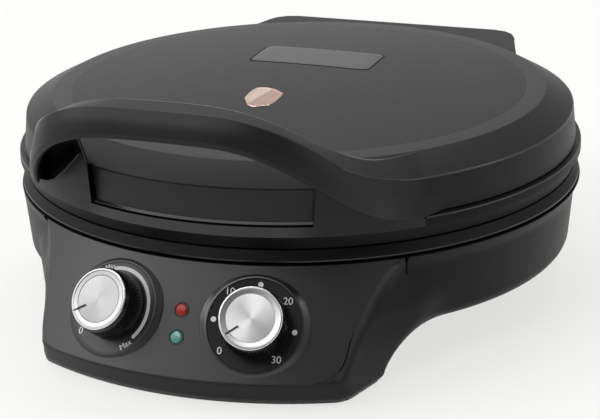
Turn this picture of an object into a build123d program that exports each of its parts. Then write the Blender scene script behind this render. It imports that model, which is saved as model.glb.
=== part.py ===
from build123d import *
import math
import os

# Countertop pizza maker with a hinged lid, built as separate pieces.
# Millimetres, +Z up, front at -Y. The plates' vertical axis stands at y = Y0,
# so that the middle of the whole object's box is at x = 0, y = 0.

Y0 = 9.15               # plates' axis in Y

# lid levels and radii
Z_FL = 86.0             # lower face of the lid's flange
R_FL = 172.5            # flange radius
H_FL = 5.2              # flange height
Z_CREASE = 111.7        # crease between lid wall and bevel
R_CREASE = 167.0
Z_BEVEL = 122.0         # crease between bevel and dome
R_BEVEL = 150.5
R_DOME = 139.0          # outer edge of the dome
Z_DOME_EDGE = 123.2
Z_TOP = 129.0           # middle of the dome
T_LID = 2.6             # wall of the lid

# base levels and radii
Z_RIM = 69.5            # top edge of the base shell
R_RIM = 172.4
Z_PAN = 27.4            # underside of the pan
T_BASE = 2.6
Z_LEG = 2.0             # lower edge of the front housing
R_LEG = 201.5
Z_KNEE = 17.5           # where the sloped front turns into the skirt
R_KNEE = 207.2

# baking plates
R_PLATE = 146.0         # flat baking face
Z_LOW = 66.0            # upper face of the lower plate
Z_UPP = 88.0            # lower face of the upper plate
Z_PART_LO = 77.3        # top of the lower rim
Z_PART_UP = 78.1        # underside of the upper rim

R_SCREW = 165.6         # screws that hold the upper rim

# dials on the sloped front
DIAL_AZ = 12.5          # degrees either side of the front
DIAL_Z = 43.0
TILT = math.degrees(math.atan2(R_KNEE - R_RIM, Z_RIM - Z_KNEE))
R_DIAL = 28.4
R_FACE = 26.2
H_FACE = 0.9
KNOB_BOTTOM = 1.5
KNOB_TOP = 17.1
CAP_TOP = 18.3
R_CAP = 17.2
R_SKIRT = 19.2
R_SHAFT = 3.0

# hinge
HY = 184.0              # behind the plates' axis
HZ = 80.0
R_PIN = 3.0
R_PIN_HOLE = 3.08

AXP = Plane.XZ.offset(-Y0)
AXZ = Axis((0, Y0, 0), (0, 0, 1))


def turned(points, mode=Mode.ADD, arc=360):
    """Ring or disc about the plates' axis from a closed (radius, height) outline."""
    with BuildSketch(AXP) as outline:
        with BuildLine():
            Polyline(*points, close=True)
        make_face()
    revolve(outline.sketch, axis=AXZ, revolution_arc=arc, mode=mode)


def prism_y(points, y0, y1, mode=Mode.ADD):
    """Prism along Y from an (x, z) outline, between two distances from the plates' axis."""
    with BuildSketch(Plane.XZ.offset(-(y0 + Y0))) as outline:
        with BuildLine():
            Polyline(*points, close=True)
        make_face()
    extrude(outline.sketch, amount=-(y1 - y0), mode=mode)


def prism_x(points, x0, x1, mode=Mode.ADD):
    """Prism along X from a (y, z) outline, y counted from the plates' axis."""
    with BuildSketch(Plane.YZ.offset(x0)) as outline:
        with BuildLine():
            Polyline(*[(y + Y0, z) for y, z in points], close=True)
        make_face()
    extrude(outline.sketch, amount=x1 - x0, mode=mode)


def prism_z(points, z0, z1, mode=Mode.ADD):
    """Prism along Z from an (x, y) outline, y counted from the plates' axis."""
    with BuildSketch(Plane.XY.offset(z0)) as outline:
        with BuildLine():
            Polyline(*[(x, y + Y0) for x, y in points], close=True)
        make_face()
    extrude(outline.sketch, amount=z1 - z0, mode=mode)


def cone_r(z):
    """Radius of the sloped front surface at a height."""
    return R_RIM + (R_KNEE - R_RIM) * (Z_RIM - z) / (Z_RIM - Z_KNEE)


def dial_plane(side):
    """Plane on the sloped front under one dial, its normal out of the panel."""
    a = math.radians(DIAL_AZ)
    t = math.radians(TILT)
    r = cone_r(DIAL_Z)
    n = (side * math.sin(a) * math.cos(t), -math.cos(a) * math.cos(t), math.sin(t))
    h = (math.cos(a), side * math.sin(a), 0)
    return Plane(origin=(side * r * math.sin(a), Y0 - r * math.cos(a), DIAL_Z), x_dir=h, z_dir=n)


def lamp_plane(z):
    t = math.radians(TILT)
    return Plane(origin=(0, Y0 - cone_r(z), z), x_dir=(1, 0, 0), z_dir=(0, -math.cos(t), math.sin(t)))


PT = dial_plane(-1)      # temperature, left
PM = dial_plane(1)       # timer, right
LAMP_Z = (47.6, 35.2)
PL = [lamp_plane(z) for z in LAMP_Z]

# ------------------------------------------------------------------ outlines

FRONT = [(0, Z_LEG), (R_LEG, Z_LEG), (203.6, 8.0), (205.8, 13.0), (R_KNEE - 0.3, 16.0),
         (cone_r(18.8), 18.8), (R_RIM, Z_RIM), (0, Z_RIM)]
FRONT_IN = [(0, Z_LEG - 3), (R_LEG - 3.4, Z_LEG - 3), (R_LEG - 2.6, Z_LEG), (201.0, 8.0), (203.2, 13.0),
            (R_KNEE - 3.2, 16.0), (cone_r(18.8) - 3.3, 18.8), (cone_r(66.9) - 3.1, 66.9), (0, 66.9)]

# half width of the front housing against height, at 180 in front of the axis
SIDE = [(0.0, 89.3), (14.0, 89.3), (30.0, 88.8), (44.0, 88.7), (52.0, 89.6), (58.0, 90.6),
        (63.0, 91.9), (67.0, 94.0), (70.0, 97.0), (73.0, 99.5)]
SHEAR = 0.27


# the same for the control panel set into it, with rounded lower corners
PANEL = [(13.9, 76.0), (14.5, 80.5), (16.4, 84.4), (19.5, 86.6), (24.0, 87.5), (30.0, 87.5), (44.0, 87.4),
         (52.0, 88.3), (58.0, 89.3), (63.0, 90.6), (67.0, 92.7), (70.0, 95.7), (73.0, 98.2)]


def housing_sides(side, inset, drop=0.0, mode=Mode.INTERSECT, y_front=-216.0, y_back=-100.0):
    """Prism that narrows towards the front, from a list of (height, half width)."""
    ends = []
    for y in (y_front, y_back):
        k = SHEAR * (y + 180.0)
        right = [(w + k - inset, z - (drop if i == 0 else 0)) for i, (z, w) in enumerate(side)]
        left = [(-x, z) for x, z in reversed(right)]
        with BuildSketch(Plane.XZ.offset(-(y + Y0))) as outline:
            with BuildLine():
                Polyline(*(right + left), close=True)
            make_face()
        ends.append(outline.sketch)
    loft(ends, ruled=True, mode=mode)


# rear outline of the front leg, (y from the axis, z)
def leg_back(d):
    return [(-147.0 - d, -2.0), (-147.0 - d, 2.0), (-144.8 - d, 4.6), (-138.0 - d, 13.6),
            (-124.5 - d, 21.5), (-104.0 - d, Z_PAN + 0.2 - d * 0.6), (-104.0 - d, 75.0), (-225.0, 75.0), (-225.0, -2.0)]


# ------------------------------------------------------------------ lid

with BuildPart() as lid_shell:
    with BuildSketch(AXP):
        with BuildLine():
            ThreePointArc((0, Z_TOP), (R_DOME / 2, Z_TOP - (Z_TOP - Z_DOME_EDGE) * 0.25), (R_DOME, Z_DOME_EDGE))
            Polyline((R_DOME, Z_DOME_EDGE), (R_BEVEL, Z_BEVEL), (R_CREASE, Z_CREASE), (169.3, 92.4), (167.2, 92.4),
                     (167.2, Z_FL + H_FL), (R_FL, Z_FL + H_FL), (R_FL, Z_FL), (164.0, Z_FL), (164.2, 110.2),
                     (149.3, 119.3), (138.6, 120.4))
            ThreePointArc((138.6, 120.4), (69.3, Z_TOP - T_LID - 1.45), (0, Z_TOP - T_LID))
            Line((0, Z_TOP - T_LID), (0, Z_TOP))
        make_face()
    revolve(axis=AXZ)
    # the flange is cut back where the front surround sits
    with BuildSketch(Plane.XY.offset(Z_FL - 1)):
        with BuildLine():
            Polyline((0, Y0), (-116.9 * 1.7, Y0 - 124.2 * 1.7), (116.9 * 1.7, Y0 - 124.2 * 1.7), close=True)
        make_face()
        with Locations((0, Y0)):
            Circle(169.85, mode=Mode.SUBTRACT)
    extrude(amount=H_FL + 1.1, mode=Mode.SUBTRACT)
    # pocket for the inset plate and hole for the badge stem
    with BuildSketch(Plane.XY.offset(Z_TOP - 1.3)):
        with Locations((0, Y0 + 35.5)):
            RectangleRounded(77.0, 36.8, 6.0)
    extrude(amount=5, mode=Mode.SUBTRACT)
    with Locations((-2.0, Y0 - 50.0, Z_TOP - 2)):
        Cylinder(2.0, 8, mode=Mode.SUBTRACT)
    # screw holes in the flange
    with Locations((0, Y0, Z_FL + 2)):
        with PolarLocations(R_SCREW, 6, start_angle=0):
            Cylinder(1.5, 5.0, mode=Mode.SUBTRACT)
lid_shell.part.label = "lid_shell"

with BuildPart() as lid_inset_plate:
    with BuildSketch(Plane.XY.offset(Z_TOP - 1.3)):
        with Locations((0, Y0 + 35.5)):
            RectangleRounded(76.4, 36.2, 5.7)
    extrude(amount=1.25)
lid_inset_plate.part.label = "lid_inset_plate"


with BuildPart() as lid_badge:
    with BuildSketch(Plane.XY.offset(Z_TOP - 0.38)):
        with Locations((-2.0, Y0 - 50.0)):
            Ellipse(9.2, 12.4)
    extrude(amount=0.9)
    with Locations((-2.0, Y0 - 50.0, Z_TOP - 2.2)):
        Cylinder(1.9, 3.8)
lid_badge.part.label = "lid_badge"

# front surround under the handle: a band on the flange with a cheek either side of the grip opening
CHEEK = [(-118.6, 90.0), (-116.5, 91.6), (-101.5, 94.8), (-93.0, 100.4), (-86.1, 106.1), (-78.5, 113.5), (-72.3, 120.3),
         (-70.2, 120.3), (-68.4, 114.0), (-65.6, 92.2)]
with BuildPart() as lid_fascia:
    turned([(169.95, Z_FL), (R_FL, Z_FL), (R_FL, 125.0), (169.95, 125.0)])
    outline = [(-118.6, Z_FL - 1)] + CHEEK + [(-x, z) for x, z in reversed(CHEEK)] + [(118.6, Z_FL - 1)]
    prism_y(outline, -200.0, -100.0, mode=Mode.INTERSECT)
    with BuildSketch(Plane.XY.offset(Z_FL - 1)):
        with BuildLine():
            Polyline((0, Y0), (-116.4 * 1.7, Y0 - 124.7 * 1.7), (116.4 * 1.7, Y0 - 124.7 * 1.7), close=True)
        make_face()
    extrude(amount=60, mode=Mode.INTERSECT)
lid_fascia.part.label = "lid_fascia"

# edges of the arched handle: half width x, distance y in front of the axis, height above the flange
TOP_OUT = [(0, 208.4, 79.4), (20, 208.3, 79.3), (40, 208.0, 78.4), (60, 205.0, 73.4), (75, 196.0, 63.1),
           (90, 173.7, 45.8), (100, 148.8, 32.7), (107.3, 128.0, 25.9)]
TOP_IN = [(0, 196.3, 81.8), (20, 196.2, 81.5), (40, 195.4, 79.1), (60, 191.4, 72.5), (75, 179.5, 62.0),
          (85, 160.0, 50.0), (90, 145.0, 42.5), (93.5, 119.5, 36.0)]
LOW_IN = [(0, 212.3, 63.7), (20, 212.2, 63.5), (40, 211.4, 62.0), (60, 206.7, 55.2), (75, 196.5, 43.5),
          (90, 176.5, 25.9), (100, 156.6, 13.5), (108, 138.2, 6.4), (114, 127.0, 5.9), (116.5, 123.0, 5.8)]
PIVOT = 95.0            # the handle's sections turn about a line this far in front of the axis


def _polar(curve):
    return [(math.degrees(math.atan2(x, y - PIVOT)), math.hypot(x, y - PIVOT), z) for x, y, z in curve]


def _at(curve, a):
    p = _polar(curve)
    a = abs(a)
    if a >= p[-1][0]:
        return p[-1][1], Z_FL + p[-1][2]
    for (a0, r0, z0), (a1, r1, z1) in zip(p[:-1], p[1:]):
        if a0 <= a <= a1:
            f = (a - a0) / (a1 - a0)
            return r0 + (r1 - r0) * f, Z_FL + z0 + (z1 - z0) * f
    return p[0][1], Z_FL + p[0][2]


def handle_section(a):
    """Open channel, its mouth down: back flange, top, front face and rounded lower edge."""
    ri, zi = _at(TOP_IN, a)
    ro, zo = _at(TOP_OUT, a)
    rl, zl = _at(LOW_IN, a)
    back = 9.0
    return [(ri, zi - back), (ri, zi), (ro, zo), (rl + 3.0, zl + 3.4), (rl + 1.6, zl + 0.6), (rl, zl),
            (rl - 1.6, zl + 1.2), (ro - 3.0, zo - 3.2), (ri + 2.8, zi - 3.0), (ri + 2.8, zi - back)]


HANDLE_STEPS = [-74, -70, -65, -60, -54, -47, -40, -33, -26, -20, -14, -7, 0,
                7, 14, 20, 26, 33, 40, 47, 54, 60, 65, 70, 74]

with BuildPart() as lid_handle:
    for a in HANDLE_STEPS:
        t = math.radians(a)
        d = (math.sin(t), -math.cos(t), 0)
        pl = Plane(origin=(0, Y0 - PIVOT, 0), x_dir=d, z_dir=(d[1], -d[0], 0))
        with BuildSketch(pl):
            with BuildLine():
                Polyline(*handle_section(a), close=True)
            make_face()
    loft(ruled=True)
    # inner side walls that tie the arch to the lid beside the grip
    RIB = [(-146.0, 113.0), (-156.2, 113.0), (-158.5, 116.0), (-202.0, 136.0), (-203.0, 152.0), (-190.0, 156.0),
           (-186.0, 155.0), (-138.0, 124.0)]
    prism_x(RIB, 66.0, 68.6)
    prism_x(RIB, -68.6, -66.0)
    # clear of the lid
    turned([(0, Z_FL - 1), (R_FL + 0.02, Z_FL - 1), (R_FL + 0.02, Z_FL + H_FL + 0.02), (169.4, Z_FL + H_FL + 0.02),
            (R_CREASE + 0.05, Z_CREASE + 0.02), (R_BEVEL + 0.03, Z_BEVEL + 0.05), (R_DOME, Z_DOME_EDGE + 0.05),
            (0, Z_TOP + 0.05)], mode=Mode.SUBTRACT)
    add(lid_fascia.part, mode=Mode.SUBTRACT)
    add(lid_shell.part, mode=Mode.SUBTRACT)
lid_handle.part.label = "lid_handle"

with BuildPart() as upper_rim_ring:
    turned([(157.0, Z_PART_UP), (168.3, Z_PART_UP), (170.6, 84.4), (171.0, Z_FL), (160.2, Z_FL), (160.2, 82.0),
            (157.0, 82.0)])
    with Locations((0, Y0, Z_PART_UP)):
        with PolarLocations(R_SCREW, 6, start_angle=0):
            Cylinder(1.55, 30.0, mode=Mode.SUBTRACT)
            Cylinder(2.3, 4.4, mode=Mode.SUBTRACT)
upper_rim_ring.part.label = "upper_rim_ring"

with BuildPart() as rim_screws:
    with Locations((0, Y0, Z_PART_UP + 1.2)):
        with PolarLocations(R_SCREW, 6, start_angle=0):
            Cylinder(2.2, 1.9)
    with Locations((0, Y0, 85.2)):
        with PolarLocations(R_SCREW, 6, start_angle=0):
            Cylinder(1.45, 10.2)
rim_screws.part.label = "rim_screws"

with BuildPart() as upper_plate:
    turned([(0, Z_UPP), (R_PLATE, Z_UPP), (151.0, 79.0), (156.5, 79.0), (156.5, 82.0), (160.0, 82.0), (160.0, 84.5),
            (153.5, 84.5), (148.5, 91.0), (0, 91.0)])
upper_plate.part.label = "upper_plate"

R_EL = 105.0
D_EL = 3.3


def element(z, up):
    """Open tubular ring with two terminal pins, against a plate."""
    with BuildSketch(Plane(origin=(R_EL * math.cos(math.radians(105)), Y0 + R_EL * math.sin(math.radians(105)), z),
                           x_dir=(0, 0, 1),
                           z_dir=(-math.sin(math.radians(105)), math.cos(math.radians(105)), 0))) as tube:
        Circle(D_EL)
    revolve(tube.sketch, axis=AXZ, revolution_arc=330)
    for a in (105, 75):
        x = R_EL * math.cos(math.radians(a))
        y = Y0 + R_EL * math.sin(math.radians(a))
        with Locations((x, y, z)):
            Sphere(D_EL)
        with Locations((x, y, z + up * 3.5)):
            Cylinder(1.6, 7.0)


def element_clamps(z, z_plate, z_far):
    """Saddles over the element, open towards the plate, their feet on it."""
    zl, zh = min(z_plate, z_far), max(z_plate, z_far)
    with Locations((0, Y0, (zl + zh) / 2)):
        with PolarLocations(R_EL, 5, start_angle=-90, angular_range=288):
            Box(16.0, 12.0, zh - zl)
    reach = z_plate - z + math.copysign(1.0, z_plate - z)
    with BuildSketch(Plane(origin=(R_EL, Y0, z), x_dir=(0, 0, 1), z_dir=(0, 1, 0))) as tube:
        Circle(D_EL + 0.05)
        with Locations((reach / 2, 0)):
            Rectangle(abs(reach), 2 * D_EL + 0.1)
    revolve(tube.sketch, axis=AXZ, mode=Mode.SUBTRACT)


with BuildPart() as upper_element:
    element(91.05 + D_EL, 1)
upper_element.part.label = "upper_element"

with BuildPart() as upper_clamps:
    element_clamps(91.05 + D_EL, 91.0, 99.6)
upper_clamps.part.label = "upper_clamps"

with BuildPart() as upper_heat_shield:
    turned([(0, 104.0), (152.4, 104.0), (157.5, Z_FL), (163.5, Z_FL), (163.5, 86.8), (158.1, 86.8), (153.0, 104.8),
            (0, 104.8)])
upper_heat_shield.part.label = "upper_heat_shield"

# ------------------------------------------------------------------ hinge, lid side

BLOCK = [(-102.0, 130.0), (-101.6, 141.0), (-92.6, 172.0), (-90.4, 181.0), (-87.0, 189.0), (-81.0, 194.6),
         (-73.0, 197.0), (73.0, 197.0), (81.0, 194.6), (87.0, 189.0), (90.4, 181.0), (92.6, 172.0), (101.6, 141.0),
         (102.0, 130.0)]
BLOCK_IN = [(-99.0, 127.0), (-98.8, 141.0), (-89.8, 172.0), (-87.6, 180.2), (-84.6, 187.2), (-79.6, 192.1),
            (-72.6, 194.3), (72.6, 194.3), (79.6, 192.1), (84.6, 187.2), (87.6, 180.2), (89.8, 172.0), (98.8, 141.0),
            (99.0, 127.0)]

with BuildPart() as lid_hinge_cover:
    prism_z(BLOCK, 84.0, 111.6)
    prism_z(BLOCK_IN, 83.0, 109.0, mode=Mode.SUBTRACT)
    turned([(0, 80), (R_FL + 0.02, 80), (R_FL + 0.02, Z_FL + H_FL + 0.02), (169.35, Z_FL + H_FL + 0.1),
            (R_CREASE + 0.02, Z_CREASE + 0.05), (0, Z_CREASE + 0.05)], mode=Mode.SUBTRACT)
    add(lid_shell.part, mode=Mode.SUBTRACT)
    chamfer(lid_hinge_cover.edges().filter_by_position(Axis.Z, 111.5, 111.7).filter_by(
        lambda e: e.center().Y > Y0 + 176), length=1.0)
lid_hinge_cover.part.label = "lid_hinge_cover"

with BuildPart() as lid_hinge_arms:
    for x0 in (54.5, -64.5):
        with BuildSketch(Plane.YZ.offset(x0)):
            with BuildLine():
                Polyline((Y0 + 177.0, HZ), (Y0 + 177.0, 108.95), (Y0 + 191.0, 108.95), (Y0 + 191.0, HZ), close=True)
            make_face()
            with Locations((Y0 + HY, HZ)):
                Circle(7.0)
                Circle(R_PIN_HOLE, mode=Mode.SUBTRACT)
        extrude(amount=10.0)
lid_hinge_arms.part.label = "lid_hinge_arms"

# ------------------------------------------------------------------ base


with BuildPart() as housing_out:
    turned(FRONT)
    housing_sides(SIDE, 0.0)
    prism_x(leg_back(0.0), -150.0, 150.0, mode=Mode.INTERSECT)

with BuildPart() as housing_in:
    turned(FRONT_IN)
    housing_sides(SIDE, T_BASE, drop=2.0)
    prism_x(leg_back(T_BASE), -150.0, 150.0, mode=Mode.INTERSECT)

PAN = [(0, Z_PAN), (157.0, Z_PAN), (161.0, 29.0), (163.6, 33.0), (165.6, 42.0), (167.6, 57.0), (168.3, 62.8),
       (R_RIM, Z_RIM), (0, Z_RIM)]
PAN_IN = [(0, 30.0), (156.0, 30.0), (159.0, 31.4), (161.0, 34.5), (163.0, 42.4), (165.0, 57.4), (165.1, Z_RIM + 1),
          (0, Z_RIM + 1)]
REAR_FEET = [(-78.0, 112.0), (78.0, 112.0)]
FRONT_FEET = [(-62.0, -170.0), (62.0, -170.0)]
COVER_SCREWS = [(-84.0, -157.0), (84.0, -157.0), (-42.0, -188.0), (42.0, -188.0)]
GLAND_Z = 43.0

with BuildPart() as base_shell:
    turned(PAN)
    add(housing_out.part)
    # rear housing
    with Locations((0, Y0 + 166.0, (Z_PAN + 58.0) / 2)):
        Box(108.0, 32.0, 58.0 - Z_PAN)
    # rear legs
    for x, y in REAR_FEET:
        with BuildSketch(Plane.XY.offset(Z_LEG)):
            with Locations((x, y + Y0)):
                Circle(11.5)
        with BuildSketch(Plane.XY.offset(Z_PAN + 1.0)):
            with Locations((x, y + Y0)):
                Circle(14.0)
        loft()
    turned(PAN_IN, mode=Mode.SUBTRACT)
    add(housing_in.part, mode=Mode.SUBTRACT)
    with Locations((0, Y0 + 157.2, (30.0 + 55.4) / 2)):
        Box(102.8, 44.4, 25.4, mode=Mode.SUBTRACT)
    # opening for the control panel
    with BuildSketch(Plane.XZ.offset(216.0 - Y0)):
        with BuildLine():
            Polyline(*([(w - SHEAR * 36.0 + 0.1, z) for z, w in PANEL]
                       + [(-(w - SHEAR * 36.0 + 0.1), z) for z, w in reversed(PANEL)]), close=True)
        make_face()
    with BuildSketch(Plane.XZ.offset(128.0 - Y0)):
        with BuildLine():
            Polyline(*([(w + SHEAR * 52.0 + 0.1, z) for z, w in PANEL]
                       + [(-(w + SHEAR * 52.0 + 0.1), z) for z, w in reversed(PANEL)]), close=True)
        make_face()
    loft(ruled=True, mode=Mode.SUBTRACT)
    # ledge that carries the lower rim behind the panel's top edge
    with BuildSketch(AXP):
        with BuildLine():
            Polyline((165.1, 66.9), (168.9, 66.9), (168.9, Z_RIM), (165.1, Z_RIM), close=True)
        make_face()
    revolve(axis=AXZ)
    # bosses for the screws of the leg's cover
    for x, y in COVER_SCREWS:
        if abs(x) > 60:
            with Locations((math.copysign(abs(x) + 2.0, x), Y0 + y, 11.0)):
                Box(14.0, 8.0, 12.6)
        else:
            with Locations((x, Y0 + y - 2.0, 11.0)):
                Box(9.0, 12.0, 12.6)
    for x, y in COVER_SCREWS:
        with Locations((x, Y0 + y, 8.0)):
            Cylinder(1.5, 12.0, mode=Mode.SUBTRACT)
    # holes for the rear feet
    for x, y in REAR_FEET:
        with Locations((x, y + Y0, 4.0)):
            Cylinder(3.1, 8.0, mode=Mode.SUBTRACT)
    # vents in the floor of the pan
    with BuildSketch(Plane.XY.offset(Z_PAN - 1)):
        with Locations((0, Y0)):
            with PolarLocations(92.0, 14, start_angle=-50, angular_range=260, endpoint=True):
                SlotOverall(26.0, 3.4)
    extrude(amount=5.0, mode=Mode.SUBTRACT)
    # hole for the cord's gland
    with Locations((0, Y0 + 181.0, GLAND_Z)):
        Cylinder(6.5, 8.0, rotation=(90, 0, 0), mode=Mode.SUBTRACT)
base_shell.part.label = "base_shell"

with BuildPart() as control_panel:
    turned(FRONT)
    turned(FRONT_IN, mode=Mode.SUBTRACT)
    turned([(0, 60.0), (169.0, 60.0), (169.0, Z_RIM + 1), (0, Z_RIM + 1)], mode=Mode.SUBTRACT)
    housing_sides(PANEL, 0.0)
    for pl in (PT, PM):
        with BuildSketch(pl.offset(-12)):
            Circle(4.5)
        extrude(amount=24, mode=Mode.SUBTRACT)
    for pl in PL:
        with BuildSketch(pl.offset(-12)):
            Circle(4.25)
        extrude(amount=24, mode=Mode.SUBTRACT)
control_panel.part.label = "control_panel"

with BuildPart() as leg_cover:
    add(housing_in.part)
    with Locations((0, Y0 - 150.0, 3.25)):
        Box(300.0, 120.0, 2.5, mode=Mode.INTERSECT)
    for x, y in COVER_SCREWS:
        with Locations((x, Y0 + y, 3.0)):
            Cylinder(1.7, 6.0, mode=Mode.SUBTRACT)
    for x, y in FRONT_FEET:
        with Locations((x, Y0 + y, 3.0)):
            Cylinder(3.1, 6.0, mode=Mode.SUBTRACT)
    with BuildSketch(Plane.XY.offset(1)):
        with Locations((0, Y0 - 172.0)):
            with GridLocations(9.0, 10.0, 8, 1):
                SlotOverall(22.0, 3.4, rotation=90)
    extrude(amount=5.0, mode=Mode.SUBTRACT)
leg_cover.part.label = "leg_cover"

with BuildPart() as cover_screws:
    for x, y in COVER_SCREWS:
        with Locations((x, Y0 + y, 1.1)):
            Cylinder(3.1, 1.7)
        with Locations((x, Y0 + y, 7.0)):
            Cylinder(1.45, 10.4)
cover_screws.part.label = "cover_screws"

with BuildPart() as rubber_feet:
    for x, y in FRONT_FEET + REAR_FEET:
        with Locations((x, Y0 + y, 1.0)):
            Cylinder(8.5, 2.0)
        with Locations((x, Y0 + y, 3.0)):
            Cylinder(3.0, 4.0)
    chamfer(rubber_feet.edges().filter_by_position(Axis.Z, -0.1, 0.1), length=0.6)
rubber_feet.part.label = "rubber_feet"

with BuildPart() as lower_rim_ring:
    turned([(157.0, Z_PART_LO), (168.5, Z_PART_LO), (171.6, 71.9), (171.6, 71.1), (167.2, 70.9), (167.2, Z_RIM),
            (160.2, Z_RIM), (160.2, 73.3), (157.0, 73.3)])
lower_rim_ring.part.label = "lower_rim_ring"

with BuildPart() as lower_plate:
    turned([(0, Z_LOW), (R_PLATE, Z_LOW), (151.0, 76.4), (156.5, 76.4), (156.5, 73.3), (160.0, 73.3), (160.0, 70.8),
            (153.5, 70.8), (148.5, 63.0), (0, 63.0)])
lower_plate.part.label = "lower_plate"

with BuildPart() as lower_element:
    element(62.95 - D_EL, -1)
lower_element.part.label = "lower_element"

with BuildPart() as lower_clamps:
    element_clamps(62.95 - D_EL, 63.0, 54.4)
lower_clamps.part.label = "lower_clamps"

with BuildPart() as lower_heat_shield:
    turned([(0, 47.2), (152.4, 47.2), (157.5, Z_RIM), (164.6, Z_RIM), (164.6, 68.7), (158.1, 68.7), (153.0, 46.4),
            (0, 46.4)])
lower_heat_shield.part.label = "lower_heat_shield"

# ------------------------------------------------------------------ hinge, base side

with BuildPart() as base_hinge_brackets:
    for x0 in (42.0, -52.0):
        with BuildSketch(Plane.YZ.offset(x0)):
            with BuildLine():
                Polyline((Y0 + 169.2, 58.0), (Y0 + 177.5, 58.0), (Y0 + 189.0, 75.2), (Y0 + 177.3, 82.0), close=True)
            make_face()
            with Locations((Y0 + HY, HZ)):
                Circle(7.0)
                Circle(R_PIN, mode=Mode.SUBTRACT)
        extrude(amount=10.0)
base_hinge_brackets.part.label = "base_hinge_brackets"

with BuildPart() as hinge_pins:
    for x in (53.2, -53.2):
        with Locations((x, Y0 + HY, HZ)):
            Cylinder(R_PIN, 23.0, rotation=(0, 90, 0))
hinge_pins.part.label = "hinge_pins"

# ------------------------------------------------------------------ controls

with BuildPart() as temp_dial_plate:
    with BuildSketch(PT.offset(-4.0)):
        Circle(R_DIAL + 0.6)
    with BuildSketch(PT.offset(-1.6)):
        Circle(R_DIAL)
    with BuildSketch(PT.offset(H_FACE)):
        Circle(R_FACE)
    loft(ruled=True)
    with BuildSketch(PT.offset(-6.0)):
        Circle(4.5)
    extrude(amount=12.0, mode=Mode.SUBTRACT)
    turned(FRONT, mode=Mode.SUBTRACT)
temp_dial_plate.part.label = "temp_dial_plate"

with BuildPart() as timer_dial_plate:
    with BuildSketch(PM.offset(-4.0)):
        Circle(R_DIAL + 0.6)
    with BuildSketch(PM.offset(-1.6)):
        Circle(R_DIAL)
    with BuildSketch(PM.offset(H_FACE)):
        Circle(R_FACE)
    loft(ruled=True)
    with BuildSketch(PM.offset(-6.0)):
        Circle(4.5)
    extrude(amount=12.0, mode=Mode.SUBTRACT)
    turned(FRONT, mode=Mode.SUBTRACT)
timer_dial_plate.part.label = "timer_dial_plate"


def knob(pl):
    """Ribbed barrel, hollow from below, with a hub on the shaft."""
    with BuildSketch(pl.offset(KNOB_BOTTOM)) as low:
        Circle(R_SKIRT)
    with BuildSketch(pl.offset(KNOB_TOP)) as high:
        Circle(R_CAP + 0.3)
    loft([low.sketch, high.sketch], ruled=True)
    with BuildSketch(pl.offset(KNOB_BOTTOM - 1)) as ribs:
        with PolarLocations(R_SKIRT + 0.25, 40):
            Circle(0.62)
    extrude(ribs.sketch, amount=13.5, mode=Mode.SUBTRACT)
    with BuildSketch(pl.offset(KNOB_BOTTOM - 1)) as hollow:
        Circle(15.2)
    extrude(hollow.sketch, amount=13.0, mode=Mode.SUBTRACT)
    with BuildSketch(pl.offset(KNOB_BOTTOM + 4.0)) as hub:
        Circle(6.0)
    extrude(hub.sketch, amount=9.5)
    with BuildSketch(pl.offset(KNOB_BOTTOM + 3.0)) as bore:
        Circle(R_SHAFT)
    extrude(bore.sketch, amount=9.0, mode=Mode.SUBTRACT)


def knob_cap(pl):
    """Turned disc with a raised rim and a shallow dished face."""
    with BuildSketch(pl.offset(KNOB_TOP)) as disc:
        Circle(R_CAP)
    extrude(disc.sketch, amount=CAP_TOP - KNOB_TOP)
    with BuildSketch(pl.offset(CAP_TOP - 0.35)) as step:
        Circle(R_CAP - 0.9)
    extrude(step.sketch, amount=1.0, mode=Mode.SUBTRACT)
    with BuildSketch(pl.offset(CAP_TOP - 0.55)) as dish:
        Circle(13.3)
    extrude(dish.sketch, amount=1.0, mode=Mode.SUBTRACT)


def shaft(pl, depth):
    """Round shaft from inside the control up into the knob."""
    with BuildSketch(pl.offset(-depth)) as section:
        Circle(R_SHAFT)
    extrude(section.sketch, amount=depth + KNOB_BOTTOM + 11.5)


with BuildPart() as temp_knob_body:
    knob(PT)
temp_knob_body.part.label = "temp_knob_body"

with BuildPart() as temp_knob_cap:
    knob_cap(PT)
temp_knob_cap.part.label = "temp_knob_cap"

with BuildPart() as temp_shaft:
    shaft(PT, 24.0)
temp_shaft.part.label = "temp_shaft"

with BuildPart() as timer_knob_body:
    knob(PM)
timer_knob_body.part.label = "timer_knob_body"

with BuildPart() as timer_knob_cap:
    knob_cap(PM)
timer_knob_cap.part.label = "timer_knob_cap"

with BuildPart() as timer_shaft:
    shaft(PM, 24.0)
timer_shaft.part.label = "timer_shaft"

with BuildPart() as thermostat:
    with BuildSketch(PT.offset(-32.0)):
        Circle(12.5)
    extrude(amount=20.0)
    with BuildSketch(PT.offset(-12.0)):
        Circle(4.2)
    extrude(amount=12.0 + H_FACE + 0.1)
    with BuildSketch(PT.offset(-26.0)):
        Circle(R_SHAFT + 0.07)
    extrude(amount=40.0, mode=Mode.SUBTRACT)
    with BuildSketch(PT.offset(-36.0)):
        with Locations((-6.0, 0), (6.0, 0)):
            Rectangle(1.0, 6.3)
    extrude(amount=4.2)
thermostat.part.label = "thermostat"

with BuildPart() as timer_mechanism:
    with BuildSketch(PM.offset(-31.0)):
        RectangleRounded(36.0, 34.0, 3.0)
    extrude(amount=19.0)
    with BuildSketch(PM.offset(-12.0)):
        Circle(4.2)
    extrude(amount=12.0 + H_FACE + 0.1)
    with BuildSketch(PM.offset(-26.0)):
        Circle(R_SHAFT + 0.07)
    extrude(amount=40.0, mode=Mode.SUBTRACT)
timer_mechanism.part.label = "timer_mechanism"

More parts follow.
